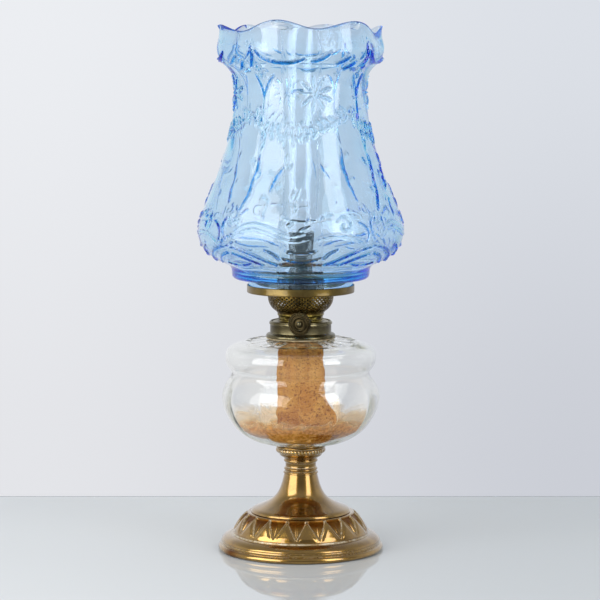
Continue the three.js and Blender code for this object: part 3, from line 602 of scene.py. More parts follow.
def makeFoot(v):
    outer = outline(
        [(69.5, 0), (75.3, 0)],
        [(75.3, 0), (77, 0.5), (78, 1.7), (78, 3.2), (77.1, 4.9), (75.7, 5.7)],
        [(75.1, 6), (75.5, 6.9), (75.3, 8.7)],
        [(74.7, 8.9), (74.9, 9.6), (74, 11.2), (71.8, 13.1), (68.6, 14.6), (66, 15.3)],
        [(66, 15.3), (64.9, 15.2), (64.3, 15.7), (64.2, 16.6), (64.6, 17.3)],
        [(64, 17.3), (62.9, 19.2), (61, 22.2), (59, 25.5), (56.6, 29), (54, 32), (51.6, 34.1)],
        [(51, 34.7), (50.2, 35.3), (49, 35.5), (47.6, 35.45)],
        [(46.8, 35.4), (39.2, 35.4)],
        step=0.85,
    )
    inner = outline(
        [(39.2, 33.9), (48, 33.9), (52.4, 31.3), (57.4, 25), (61.6, 17.6), (63.4, 14.2), (70, 12.2)],
        [(70, 12.2), (73.4, 8.6), (73.8, 5), (73.6, 1.4)],
        [(73.6, 1.4), (69.5, 1.4)],
        step=4,
    )

    def carve(radius, angle, height, outside):
        pitch = 360 / v["petals"]
        across = radius * np.radians(np.abs(offMiddle(angle, v["dartAt"], pitch)))
        up = (height - v["dartLow"]) / (v["dartHigh"] - v["dartLow"])
        half = np.clip(up, 0, 1) ** 1.1 * (radius * math.radians(pitch / 2) - 0.35)
        within = half - across
        dome = outside & (height > 16.8) & (height < 35.2) & (radius > 50.2)
        fade = smooth(height, 35, 34) * smooth(up, -0.04, 0.04)
        sunk = smooth(within, 0.1, 1.7) * (0.45 + 0.55 * np.clip(up, 0, 1)) * v["dartDepth"]
        edge = near(within, -0.25, v["edgeWidth"]) * v["edgeRise"] * smooth(up, 0.02, 0.14)
        vein = near(across, 0, v["veinWidth"]) * v["veinRise"] * smooth(up, 0.1, 0.3) * smooth(up, 0.92, 0.7)
        leaf = smooth(-within, 0.2, 4.5) * v["leafRise"] * smooth(height, 17.2, 20.5) * smooth(up, 1.0, 0.8)
        raised = np.where(dome, (edge + vein + leaf - sunk) * fade, 0)
        dents = v["dents"] * wave(angle, 7, height / 5) * wave(angle, 3, -height / 9)
        raised = raised + np.where(outside & (height > 1), dents, 0)
        chalk = near(within, 0.3, 0.42) * smooth(up, 0.05, 0.25) * smooth(height, 35.2, 34.6)
        # Painted highlight: a pale line along the top edge of the step under the darts, laid in the residue
        # mask.
        lipHighlight = near(height, 15.8, 0.8) * near(radius, 64.8, 1.3) * 1.6
        grooves = near(height, 5.85, 0.3) * 0.5 + near(height, 8.8, 0.25) * 0.3
        residue = np.where(outside, np.maximum(chalk * dome, np.maximum(lipHighlight, grooves)), 0)
        brown = smooth(within, 0.4, 2.2) * smooth(up, 0.3, 0.9) * dome
        wear = near(offMiddle(angle, fromCamera(v["wearAt"])), 0, v["wearWide"]) * smooth(height, 7.5, 5.5)
        return raised, {"residue": residue, "tarnish": np.maximum(brown, wear)}

    makePiece("foot", spinLine(outer, inner, v["steps"]), "polishedBrass", "stand",
              ["foot_shell"], 50, carve)


makeFoot(foot)
print("foot made")


# Stem: a trumpet, a turned knop and a cup with a roped edge.

stem = {"steps": 160}


def makeStem(v):
    trumpet = outline(
        [(44, 35.5), (46.5, 35.5)],
        [(46.5, 35.5), (47, 36), (47, 36.9), (46.4, 37.9), (44.7, 39.1), (41.4, 40.5), (37.5, 42.1)],
        [(37.5, 42.1), (33.2, 44.1), (29.2, 46.4), (25.8, 49), (22.9, 52.2), (20.6, 56), (18.9, 60),
         (17.6, 64), (16.7, 67.6), (16, 70.4), (15.7, 72.1)],
        [(3.4, 72.1), (3.4, 70.9)],
        step=1.1,
    )
    inside = outline(
        [(14.2, 70.6), (16, 64), (19.4, 56), (24.6, 48), (32, 43), (40.5, 39.4), (44, 37)], step=3,
    )
    makePiece("stemTrumpet", spinLine(trumpet, inside, v["steps"]), "stemBrass", "stand",
              ["stem_trumpet"])

    def chalk(radius, angle, height, outside):
        grooves = near(height, 74.4, 0.35) + near(height, 78.4, 0.35) + near(height, 83.2, 0.4)
        return radius * 0, {"residue": grooves * 0.7 * outside, "tarnish": near(height, 81, 1.2) * 0.4}

    knop = outline(
        [(9.5, 72.25), (15.9, 72.25)],
        [(15.9, 72.25), (16.45, 72.6), (16.5, 73.2), (16.2, 73.8), (15.4, 74.3)],
        [(15.1, 74.5), (15.2, 75.4), (15.7, 76), (15.9, 76.8), (15.4, 77.6), (14.9, 78.2)],
        [(14.6, 78.6), (14.4, 80), (14.5, 81.6), (14.8, 82.9)],
        [(15.3, 83.2), (15.9, 83.8), (16.1, 84.6), (15.9, 85.4), (15.3, 86.1)],
        [(15.2, 86.35), (9.5, 86.35)],
        step=0.5,
    )
    makePiece("stemKnop", spinLine(knop, [], v["steps"]), "stemBrass", "stand", ["stem_knop"],
              38, chalk)


makeStem(stem)

cup = {"steps": 336, "strands": 42, "ropeHeight": 94.6, "ropeWidth": 2.6, "ropeDepth": 0.55, "slant": 5.5}


def makeCup(v):
    outer = outline(
        [(3.4, 86.5), (15.4, 86.5)],
        [(15.4, 86.5), (16.3, 87.1), (16.9, 88), (18.6, 88.7), (20, 90), (20.9, 91.5), (21.3, 92)],
        [(21.3, 92), (22.5, 92.5), (23.3, 93.6), (23.5, 94.8), (23.1, 96.1), (22.4, 96.8)],
        [(22.2, 97), (23.3, 97.2), (23.8, 97.9), (23.6, 98.6), (23, 98.9)],
        [(23, 98.9), (22.4, 98.9)],
        step=0.6,
    )
    inner = outline([(21.2, 96.6), (21.9, 94.4), (19.6, 91.8), (17.2, 89.6), (14.6, 87.9)],
                    [(14.6, 87.9), (3.4, 87.9)], step=2)

    def carve(radius, angle, height, outside):
        band = near(height, v["ropeHeight"], v["ropeWidth"] / 1.4) * outside * (radius > 20.5)
        twist = np.radians(angle) * v["strands"] / 2 + (height - v["ropeHeight"]) / v["ropeWidth"] * 1.1
        strand = np.abs(np.sin(twist)) ** 0.7
        raised = -v["ropeDepth"] * (1 - strand) * band
        chalk = (1 - smooth(strand, 0.3, 0.75)) * smooth(band, 0.25, 0.7)
        grooves = near(height, 97, 0.4) * outside + near(height, 92.1, 0.4) * outside
        dark = near(height, 98.8, 0.6) * outside + near(height, 89.4, 1.4) * 0.35
        return raised, {"residue": np.maximum(chalk, grooves), "tarnish": dark}

    makePiece("fountCup", spinLine(outer, inner, v["steps"]), "stemBrass", "stand",
              ["fount_cup"], 45, carve)
    bed = outline(
        [(9, 96.2), (15.9, 96.2), (15.9, 98.4), (21, 98.5)],
        [(21, 98.5), (20.6, 96.2), (18.6, 92.6), (15, 90)],
        [(15, 90), (9, 90)],
        step=2,
    )
    makePiece("cupPlaster", spinLine(bed, [], 96), "plaster", "stand", ["fount_cement"])


makeCup(cup)
print("stem made")


# Fount: two blown lobes with a waist, a star pressed into the shoulder and panels in the inner wall.

fount = {
    "steps": 320, "wall": 2.9, "starPoints": 16, "starDepth": 0.9, "starInner": 29.5, "starOuter": 47.5,
    "starAt": 3, "scallop": 3.2, "scallopRise": 0.5, "panels": 12, "panelsAt": 14, "panelDepth": 0.9,
    "ripple": 0.14,
}


def fountLines(v):
    body = [
        (24.6, 99.7), (31, 100.8), (39.7, 102.9), (47.3, 105.9), (55.8, 111.2), (61.9, 116.8), (66.1, 122.5),
        (70, 128.8), (72.6, 134.6), (74, 140.2), (74.5, 145.6), (73.8, 151.2), (72.2, 155.4), (70, 159),
        (67.4, 162.6), (65.7, 165.6), (65, 168), (65.7, 170.3), (68.2, 173.2), (70.1, 176.8), (70.9, 181),
        (70.9, 185.5), (69.9, 189.2), (67.3, 192.2), (62.8, 194.7), (56, 196.8), (48, 198.4), (39, 199.6),
        (32, 200.3), (25.6, 200.9),
    ]
    outer = outline([(0, 94.1), (15.2, 94.1)], [(15.5, 94.4), (15.5, 98.6), (17.5, 99.3)],
                    [(17.5, 99.3), *body], [(24.8, 201.6), (24.8, 208.4)], step=2)
    wall = offsetLine(outline([(17.5, 99.3), *body], step=3.2), v["wall"])
    hollow = [point for point in wall if point[1] > 102.6 and point[0] > 23]
    inner = [(22.3, 208.4), (22.3, 199.5), *reversed(hollow), (12, 102.4), (0, 102.2)]
    return outer, inner


def makeFount(v):
    outer, inner = fountLines(v)

    def carve(radius, angle, height, outside):
        lobe = np.abs(np.cos(np.radians(angle - fromCamera(v["starAt"])) * v["starPoints"] / 2))
        end = v["starOuter"] + v["scallop"] * lobe
        shoulder = outside & (height > 190)
        flute = smooth(radius, v["starInner"] - 1, v["starInner"] + 2.5)
        flute = flute * smooth(radius, end + 0.9, end - 0.9)
        raised = np.where(shoulder, -v["starDepth"] * (0.35 + 0.65 * lobe) * flute, 0)
        raised = raised + np.where(shoulder, v["scallopRise"] * near(radius, end + 1.3, 1.1), 0)
        panel = np.abs(np.cos(np.radians(angle - fromCamera(v["panelsAt"])) * v["panels"] / 2))
        low = smooth(height, 108, 128) * smooth(height, 166, 150)
        raised = raised + np.where(~outside, v["panelDepth"] * (panel - 0.5) * low, 0)
        sway = wave(angle, 2, height / 17, 40) + 0.6 * wave(angle, 5, -height / 11)
        body = (height < 198) & (height > 101)
        return raised + v["ripple"] * sway * body, {}

    makePiece("fount", spinLine(outer, inner, v["steps"]), "fountGlass", "stand", ["fount_glass"],
              60, carve)


makeFount(fount)
print("fount made")


# What the oil left behind: a pale film up the inner wall and a brown crust at the bottom. The crust
# stands higher towards the front by its lean, and the film towards the back. Levels are in metres.

residue = {
    "gap": 0.18, "crust": 0.5, "top": 143, "steps": 192, "lean": 0.14, "unevenBy": 0.034,
    "crustFrom": 0.122, "crustTo": 0.112, "filmFrom": 0.126, "filmTo": 0.114,
    "paleDeep": colour(250, 216, 158), "paleLight": colour(254, 232, 192),
    "brownDeep": colour(186, 120, 34), "brownLight": colour(232, 172, 86), "stain": colour(156, 84, 8),
    "shadowTint": (0.94, 0.87, 0.74, 1), "passes": 0.25,
}


def residueMaterial(v):
    material, tree, out = newMaterial("oilResidue")
    place = addNode(tree, "TexCoord").outputs["Object"]
    height = addNode(tree, "SeparateXYZ", {"Vector": place}).outputs["Z"]
    patch = noiseAt(tree, place, 46, 5, 0.6, 0.6)
    grain = noiseAt(tree, place, 330, 4, 0.65)
    run = addNode(tree, "Mapping", {"Vector": place, "Scale": (1, 1, 0.16)}).outputs[0]
    streak = noiseAt(tree, run, 120, 3, 0.6)
    level = addShare(tree, height, calc(tree, "SUBTRACT", patch, 0.5), v["unevenBy"])
    ahead = calc(tree, "MULTIPLY", alongWay(tree, place, away), v["lean"])
    crust = ramp(tree, calc(tree, "SUBTRACT", level, ahead), v["crustFrom"], v["crustTo"])
    film = ramp(tree, calc(tree, "ADD", level, ahead), v["filmFrom"], v["filmTo"])
    pale = blend(tree, ramp(tree, streak, 0.35, 0.65), v["paleDeep"], v["paleLight"])
    brown = blend(tree, ramp(tree, grain, 0.4, 0.62), v["brownDeep"], v["brownLight"])
    stain = calc(tree, "MULTIPLY", ramp(tree, patch, 0.48, 0.58), ramp(tree, grain, 0.62, 0.4, 0.35, 1.0))
    brown = blend(tree, stain, brown, v["stain"])
    tint = blend(tree, crust, pale, brown)
    seen = calc(tree, "MULTIPLY", film, ramp(tree, streak, 0.25, 0.7, 0.3, 0.8))
    seen = calc(tree, "ADD", seen, crust, True)
    shader = addNode(
        tree, "BsdfPrincipled",
        {
            "Base Color": tint, "Roughness": 0.5, "Alpha": seen, "IOR": 1.02,
            "Transmission Weight": v["passes"], "Normal": bumpFrom(tree, grain, 0.3, 0.7),
        },
    ).outputs[0]
    lightThrough(tree, out, shader, v["shadowTint"])
    return material


finishes["oilResidue"] = residueMaterial(residue)


def makeResidue(v):
    inner = fountLines(fount)[1]
    glass = [point for point in reversed(inner) if point[1] < v["top"]]
    clear = v["gap"] + fount["panelDepth"] / 2
    below = offsetLine(glass, clear)
    above = offsetLine(glass, clear + v["crust"])
    above[0], below[0] = (0, above[0][1]), (0, below[0][1])
    makePiece("oilResidue", spinLine(below, list(reversed(above)), v["steps"]), "oilResidue", "stand")


makeResidue(residue)
print("oil residue made")


# Collar: a dull plated screw collar on its plaster bed.

collar = {"steps": 160, "rub": 0.06, "crumble": 0.12}


def makeCollar(v):
    outer = outline(
        [(27.5, 202.1), (32, 202.1)],
        [(32, 202.1), (32.5, 202.5), (32.6, 203.5), (32.1, 204.6), (31, 205.4), (29.7, 205.8), (29.1, 206.3)],
        [(28.8, 206.6), (28.7, 213.3)],
        [(28.7, 213.3), (28.9, 214), (29.5, 214.5), (29.6, 215.5), (29.3, 216.4)],
        [(29.3, 216.4), (28.8, 216.7), (28.7, 217.1), (28.2, 217.4), (27.6, 217.3)],
        [(27.5, 217), (27.5, 214.4), (24.3, 214.4), (24.3, 208.8), (27.5, 208.8)],
        step=0.6,
    )

    def carve(radius, angle, height, outside):
        rim = (height > 213.8) & (radius > 28.4)
        dark = near(height, 213.4, 0.5) * 0.8 + near(height, 202.3, 0.4) * 0.6
        return v["rub"] * wave(angle, 9) * wave(angle, 4, 1) * rim, {"tarnish": dark * outside}

    makePiece("screwCollar", spinLine(outer, [], v["steps"]), "dullNickel", "stand", ["collar"],
              38, carve)
    bed = outline(
        [(25.2, 200.9), (31.8, 200.75)],
        [(31.8, 200.75), (32.6, 201.2), (32.2, 201.8), (30.6, 202)],
        [(31, 202), (27.1, 202), (27.1, 207.2), (25.2, 207.2)],
        step=0.8,
    )

    def crumble(radius, angle, height, outside):
        rough = wave(angle, 13) * wave(angle, 5, 2) + wave(angle, 29)
        return v["crumble"] * rough * (radius > 31) * (height < 201.9), {}

    makePiece("collarPlaster", spinLine(bed, [], v["steps"]), "plaster", "stand", ["collar_cement"],
              38, crumble)


makeCollar(collar)
print("collar made")


# Burner neck: a flange in the collar and a brass neck with pressed loops.

neck = {
    "steps": 240, "loops": 8, "loopFrom": 11, "loopHeight": 220.5, "loopHalf": 5.6, "loopRise": 1.75,
    "loopDepth": 0.32, "wheelAt": -18,
}


def makeNeck(v):
    outer = outline(
        [(23.9, 209.3), (23.9, 215.6), (26.6, 215.6)],
        [(26.6, 215.6), (26.9, 215.9), (26.8, 216.5), (26.2, 216.8), (24, 216.9), (22, 217.1)],
        [(22, 217.1), (21, 217.4), (20.6, 218), (20.6, 219.6), (20.6, 221.4), (20.9, 222.2), (21.5, 222.6)],
        [(21.5, 222.6), (21.9, 223), (21.9, 223.8), (21.7, 224.2)],
        [(21.7, 224.2), (19.8, 224.2)],
        [(19.8, 224.2), (19.6, 222.8), (19.6, 220), (19.6, 216.4), (20.6, 214.6), (22.6, 213.6)],
        [(22.8, 213.2), (22.8, 209.3)],
        step=0.45,
    )

    def carve(radius, angle, height, outside):
        aside = offMiddle(angle, fromCamera(v["loopFrom"]), 360 / v["loops"])
        across = radius * np.radians(aside) / v["loopHalf"]
        up = (height - v["loopHeight"]) / v["loopRise"]
        ring = np.hypot(across, up)
        band = outside & (radius > 20) & (height > 217.4) & (height < 223)
        loop = near(ring, 0.85, 0.2) - 0.9 * smooth(ring, 0.75, 0.35)
        wheelSide = smooth(np.abs(offMiddle(angle, fromCamera(v["wheelAt"]))), 8, 13)
        raised = np.where(band, v["loopDepth"] * loop * wheelSide, 0)
        dark = smooth(ring, 0.95, 0.5) * band * wheelSide
        lines = (near(height, 217.4, 0.4) + near(height, 222.4, 0.35)) * outside * (radius > 20)
        return raised, {"tarnish": np.maximum(dark * 0.95, lines * 0.8)}

    makePiece("burnerNeck", spinLine(outer, [], v["steps"]), "neckBrass", "burner", ["burner_neck"],
              45, carve)
    seal = outline([(24.4, 214.5), (26.9, 214.5), (26.9, 215.5), (24.4, 215.5)])
    makePiece("corkSeal", spinLine(seal, [], 96), "cork", "seal", ["burner_seal"])


makeNeck(neck)


# The basket and the gallery are nets of quads: an open line is spun, and each vertex keeps its row.

def spinNet(line, columns):
    bm = bmesh.new()
    rowLayer = bm.verts.layers.int.new("row")
    verts = []
    for row, (radius, height) in enumerate(line):
        vert = bm.verts.new((radius * mm, 0, height * mm))
        vert[rowLayer] = row
        verts.append(vert)
    edges = [bm.edges.new(pair) for pair in zip(verts, verts[1:])]
    bmesh.ops.spin(
        bm, geom=verts + edges, cent=(0, 0, 0), axis=(0, 0, 1), dvec=(0, 0, 0), angle=turn,
        steps=columns, use_merge=True, use_duplicate=False,
    )
    bmesh.ops.recalc_face_normals(bm, faces=bm.faces)
    return bm, rowLayer


def thickenNet(piece, wall, offset, levels):
    solid = piece.modifiers.new("wall", "SOLIDIFY")
    solid.thickness = wall * mm
    solid.offset = offset
    soft = piece.modifiers.new("soft", "SUBSURF")
    soft.levels = soft.render_levels = levels


# Air basket: a pierced bowl. Corners of its net are cut off into diamond holes.

basket = {
    "columns": 78, "wall": 0.6, "rowCount": 12,
    "holeSizes": [0.75, 0.9, 1.04, 1.14, 1.22, 1.28, 1.3, 1.26, 1.15, 0.9],
}


def makeBasket(v):
    side = throughPoints(
        [(22.6, 226.4), (25.6, 228.6), (28.4, 232), (30.1, 236), (30.7, 240), (30.75, 243.2)], 0.25,
    )
    gaps = np.cumsum([0] + [math.dist(a, b) for a, b in zip(side, side[1:])])
    marks = np.linspace(0, gaps[-1], v["rowCount"])
    radii, heights = (np.interp(marks, gaps, values) for values in zip(*side))
    bm, rowLayer = spinNet(zip(radii, heights), v["columns"])
    step = turn / v["columns"]
    chosen = {}
    for vert in bm.verts:
        row = vert[rowLayer]
        column = round(math.atan2(vert.co.y, vert.co.x) / step)
        if 1 <= row <= len(v["holeSizes"]) and (row + column) % 2 == 0:
            chosen.setdefault(v["holeSizes"][row - 1], []).append(vert)
    for size, corners in chosen.items():
        made = bmesh.ops.bevel(
            bm, geom=corners, offset=size * mm, segments=1, profile=0.5, affect="VERTICES", material=-1,
        )
        holes = [f for f in made["faces"] if f.is_valid and len(f.verts) == 4]
        bmesh.ops.delete(bm, geom=holes, context="FACES_ONLY")
    piece = makePiece("airBasket", bm, "basketBronze", "burner", ["air_basket"], 60)
    thickenNet(piece, v["wall"], 0, 1)
    rim = outline(
        [(30.2, 243.1), (30.35, 242.6), (31, 242.5), (31.2, 243.2), (31, 243.9), (30.4, 244)],
        [(30.4, 244), (24.4, 244)],
        [(24.4, 243.3), (30.2, 243.1)],
        step=0.3,
    )
    makePiece("basketRim", spinLine(rim, [], 192), "neckBrass", "burner")
    foot = outline(
        [(20.2, 225.4), (21.6, 225.4)],
        [(21.6, 225.4), (22.3, 225.5), (22.9, 226), (23.1, 226.6), (22.8, 227)],
        [(22.4, 226.8), (21.8, 226.2), (20.2, 226.2)],
        step=0.3,
    )
    makePiece("basketFoot", spinLine(foot, [], 160), "darkBronze", "burner")


makeBasket(basket)
print("neck and basket made")


# Gallery: a flange, a collar and a crown of fingers with oval holes that grips the chimney.

# Slots between the fingers, windows and oval holes are rows and columns of the net, left out.
gallery = {
    "columns": 96, "wall": 0.8, "fingers": 8, "inside": 21.75, "top": 269.5,
    "rows": [247.2, 249, 251.5, 254, 256.4, 258.2, 260, 261.8, 263.6, 265.4, 267.2, 269.5],
    "slots": (range(5, 11), range(3)), "windows": ((1, 2), (5, 6, 8, 9)), "ovals": ((7, 8), (6, 7, 8)),
}


def makeGallery(v):
    def radiusAt(height):
        return v["inside"] + 0.6 * near(height, 262.5, 3) + 0.9 * smooth(height, 267, v["top"])

    bm, rowLayer = spinNet([(radiusAt(height), height) for height in v["rows"]], v["columns"])
    step = turn / v["columns"]
    perFinger = v["columns"] // v["fingers"]
    gone = []
    for face in bm.faces:
        middle = face.calc_center_median()
        column = math.floor(math.atan2(middle.y, middle.x) / step) % perFinger
        row = min(vert[rowLayer] for vert in face.verts)
        openings = (v["slots"], v["windows"], v["ovals"])
        if any(row in rows and column in columns for rows, columns in openings):
            gone.append(face)
    bmesh.ops.delete(bm, geom=gone, context="FACES")
    piece = makePiece("chimneyGallery", bm, "burnerSteel", "burner", ["chimney_gallery"], 60)
    thickenNet(piece, v["wall"], 1, 2)
    flange = outline(
        [(21.9, 244.2), (26.2, 244.2)],
        [(26.2, 244.2), (26.55, 244.5), (26.4, 245), (25.8, 245.1)],
        [(25.8, 245.1), (23.8, 245.4), (22.9, 246.4), (22.7, 247.6)],
        [(22.7, 248), (21.8, 248), (21.8, 245)],
        step=0.4,
    )
    makePiece("galleryFlange", spinLine(flange, [], 128), "burnerSteel", "burner")
    ledge = outline([(19, 255.9), (21.8, 255.9), (21.8, 256.9), (19, 256.9)])
    makePiece("galleryLedge", spinLine(ledge, [], 128), "burnerSteel", "burner")


makeGallery(gallery)
print("gallery made")


# Thumb wheel: turned about its spindle, with a milled edge and a ring of beads.

thumbWheel = {
    "steps": 256, "reach": 46, "radius": 11.05, "thick": 1.55, "mill": 60, "millFrom": 10.35,
    "millDepth": 0.16, "beads": 26, "beadRing": 8.7, "beadHalf": 0.95, "beadHigh": 0.42,
    "x": 13.975, "z": 219.4,
}


def makeThumbWheel(v):
    back, front = v["reach"], v["reach"] + v["thick"]
    outer = outline(
        [(1.65, back), (10.4, back)],
        [(10.4, back), (10.85, back + 0.25), (v["radius"], back + 0.8), (10.85, front - 0.25), (10.5, front)],
        [(10.5, front), (10.15, front), (9.95, front - 0.3), (9.7, front - 0.5)],
        [(9.7, front - 0.5), (8.7, front - 0.5), (7.2, front - 0.5), (6.9, front - 0.2), (6.6, front + 0.15)],
        [(6.6, front + 0.15), (6.1, front + 0.3), (5.6, front + 0.15), (5.3, front - 0.3)],
        [(5.3, front - 0.3), (4.6, front - 0.7), (3.4, front - 0.7), (2.5, front - 0.4), (1.65, front - 0.3)],
        step=0.18,
    )

    # The wheel is spun about the Y axis, so its radius and angle are its own.
    bm = spinLine(outer, [], v["steps"], aboutY=True)
    for vert in bm.verts:
        spoke = math.hypot(vert.co.x, vert.co.z) / mm
        angle = math.atan2(vert.co.z, vert.co.x)
        depth = -vert.co.y / mm
        if spoke > v["millFrom"]:
            fade = min(1, (spoke - v["millFrom"]) / 0.4)
            milled = -v["millDepth"] * (1 + math.cos(v["mill"] * angle)) * fade
            vert.co.x += milled * mm * math.cos(angle)
            vert.co.z += milled * mm * math.sin(angle)
        if depth > back + 0.9 and 7.3 < spoke < 10.1:
            aside = (angle * v["beads"] / turn) % 1 - 0.5
            arc = aside * turn / v["beads"] * v["beadRing"]
            bead = 1 - (math.hypot(arc, spoke - v["beadRing"]) / v["beadHalf"]) ** 2
            vert.co.y -= max(0, bead) ** 0.5 * v["beadHigh"] * mm
    bmesh.ops.translate(bm, vec=(v["x"] * mm, 0, v["z"] * mm), verts=bm.verts)
    makePiece("thumbWheel", bm, "wheelBronze", "raiser", ["thumb_wheel"], 40)
    tip = front - 0.25
    rivet = outline(
        [(0, tip), (2.1, tip)],
        [(2.1, tip), (2.15, tip + 0.5), (1.8, tip + 1.15), (1.1, tip + 1.65), (0, tip + 1.85)],
        step=0.25,
    )
    bm = spinLine(rivet, [], 48, aboutY=True)
    bmesh.ops.translate(bm, vec=(v["x"] * mm, 0, v["z"] * mm), verts=bm.verts)
    makePiece("wheelRivet", bm, "dullNickel", "raiser", ["wheel_rivet"])


makeThumbWheel(thumbWheel)
print("thumb wheel made")


# Ring that carries the shade.

shadeRing = {"steps": 240, "rimDents": 0.06, "floorDents": 0.02}


def makeRing(v):
    outer = outline(
        [(27.2, 244.1), (48.8, 244.1)],
        [(48.8, 244.1), (49.9, 244.2), (50.45, 244.7), (50.5, 245.6)],
        [(50.5, 245.6), (50.5, 250.6)],
        [(50.5, 250.6), (50.55, 251.1), (50.2, 251.45), (49.75, 251.3), (49.6, 250.9)],
        [(49.6, 250.9), (49.6, 245.2)], [(49.4, 245.05), (27.2, 245.05)],
        step=0.5,
    )

    def carve(radius, angle, height, outside):
        dents = np.where(radius > 49.5, v["rimDents"], v["floorDents"]) * wave(angle, 4, 1) * wave(angle, 11)
        edge = near(height, 251.3, 0.3) * 0.5 + near(height, 245, 0.5) * 0.35 * (radius > 49)
        return dents, {"tarnish": edge * outside}

    makePiece("shadeRing", spinLine(outer, [], v["steps"]), "ringBrass", "ring", ["shade_ring"],
              38, carve)


makeRing(shadeRing)


# Chimney: thin clear glass, wide at the foot, drawn in at a waist below the straight tube.

chimney = {"steps": 144, "wall": 1.6, "ripple": 0.09}


def makeChimney(v):
    body = [
        (20.6, 257.3), (21, 258.4), (21, 266), (21, 280), (21, 296), (20.9, 304), (20.2, 310), (19, 314.5),
        (17.7, 317.6), (17.05, 320.4), (17.2, 324), (17.8, 328.6), (18.15, 336), (18.2, 350), (18.2, 400),
        (18.2, 450), (18.2, 480), (18.2, 486.4), (18.15, 487.6),
    ]
    line = outline(body, step=3)
    wall = offsetLine(line, v["wall"])
    inner = list(reversed(wall))
    inner[0] = (wall[-1][0], 487.6)
    outer = line + [(17.6, 488)]

    def carve(radius, angle, height, outside):
        sway = wave(angle, 3, height / 31, 20) + 0.7 * wave(angle, 2, -height / 19)
        return v["ripple"] * sway * smooth(height, 258, 275) * smooth(height, 488, 480), {}

    makePiece("glassChimney", spinLine(outer, inner, v["steps"]), "chimneyGlass", "chimney",
              ["chimney"], 50, carve)


makeChimney(chimney)
print("ring and chimney made")


# Shade: blue glass on a fitter, with a wide belly, a narrow neck and a wavy mouth, and a relief
# of stems, flowers, leaves, swags and scrolls that repeats four times round.

shade = {
    "steps": 432, "repeat": 4, "wall": 3.0, "lobes": 6, "lobeDepth": 2.6, "lobeFrom": 369.7,
    "rimWave": 4.0, "waveFrom": 464.3, "top": 494.2, "sway": 0.16, "rise": 1.7, "uneven": 3.0, "aft": 3.4,
    "widest": 96.4, "spare": 0.9, "beadHigh": 1.7, "beadWide": 1.7, "reliefLow": 268, "reliefHigh": 490,
    "flangeFrom": 52, "flangeLow": 255.6, "flangeHigh": 259.5,
    # Strengths of the painted deep-blue shade on the bold strokes, the flange and the fitter.
    "boldShadeTint": 1.0, "flangeShadeTint": 0.75, "fitterShadeTint": 0.3,
}

shadeBelly = [
    (49.4, 255.4), (52.6, 256.4), (58.5, 256.9), (62, 257.6), (64, 259.4), (64.6, 262), (64.8, 265.4),
    (65.9, 268.4), (68.6, 270.8), (72.4, 272.6), (78, 275.2), (85, 279.8), (90.6, 285), (94.2, 290.8),
    (96, 296.6), (96.4, 302), (95.8, 308), (94.2, 314), (92.2, 320),
]
shadeCone = [
    (92.2, 320), (89.8, 326), (86.5, 334), (83.6, 341.5), (80.2, 349.5), (77, 357.5), (74.2, 366),
    (71.6, 374), (69.2, 381.5),
]
shadeNeck = [
    (69.2, 381.5), (67.6, 386.7), (65.4, 395.5), (63.6, 404.5), (62.3, 413.5), (61.2, 422.5), (60.4, 431),
    (60.4, 437.5), (60.9, 442.5), (62.7, 448.1), (66.6, 453.7), (71.4, 458.5), (74.4, 463), (76, 468.5),
    (76.2, 473.5), (75.3, 478.5), (74.3, 483.5), (73.9, 488), (74.1, 491.4), (74.6, 493.2),
]


def readProfile():
    line = np.array(outline(shadeBelly, shadeCone, shadeNeck, step=0.6))
    along = np.concatenate([[0], np.cumsum(np.linalg.norm(np.diff(line, axis=0), axis=1))])
    return line[:, 1], line[:, 0], along


shadeHeights, shadeRadii, shadeAlong = readProfile()


# Relief strokes. Each is a path of (degrees from the panel's middle, height), with a half width
# and a rise in millimetres, thin at both ends.

def stroke(points, half, rise=1.0, step=3.0, ends=0.35):
    place = np.array(points, float)
    radius = np.interp(place[:, 1].mean(), shadeHeights, shadeRadii)
    inMm = place * [math.radians(1) * radius, 1]
    line = np.array(throughPoints(inMm, step) if len(points) > 2 else inMm)
    share = np.linspace(0, 1, len(line))
    widths = half * (ends + (1 - ends) * np.sin(np.pi * share) ** 0.6)
    line[:, 0] /= math.radians(1) * radius
    return line, widths, rise


# The point that lies this far, in millimetres, and this way from another on the shade.
def pointOff(degrees, height, reach, way):
    radius = np.interp(height, shadeHeights, shadeRadii)
    return degrees + math.degrees(reach * math.cos(way) / radius), height + reach * math.sin(way)


def petals(degrees, height, count, inner, outer, half, rise=1.0, start=0.0):
    made = []
    for k in range(count):
        way = turn * k / count + start
        tips = [pointOff(degrees, height, reach, way) for reach in (inner, (inner + outer) / 2, outer)]
        made.append(stroke(tips, half, rise, ends=0.5))
    made.append(stroke([(degrees, height - 0.4), (degrees, height + 0.4)], inner * 0.9, rise * 1.1, ends=1))
    return made


def leaf(degrees, height, reach, way, half=2.2, rise=0.9, bend=0.25):
    made = [pointOff(degrees, height, share * reach, way + bend * share) for share in (0, 0.35, 0.7, 1)]
    return stroke(made, half, rise, ends=0.2)


def spiral(degrees, height, reach, turns, half=1.5, start=0.0, hand=1):
    points = [
        pointOff(degrees, height, reach * share, start + hand * turn * turns * share)
        for share in np.linspace(0.12, 1, 11)
    ]
    return stroke(points, half, 0.9, step=2.2)


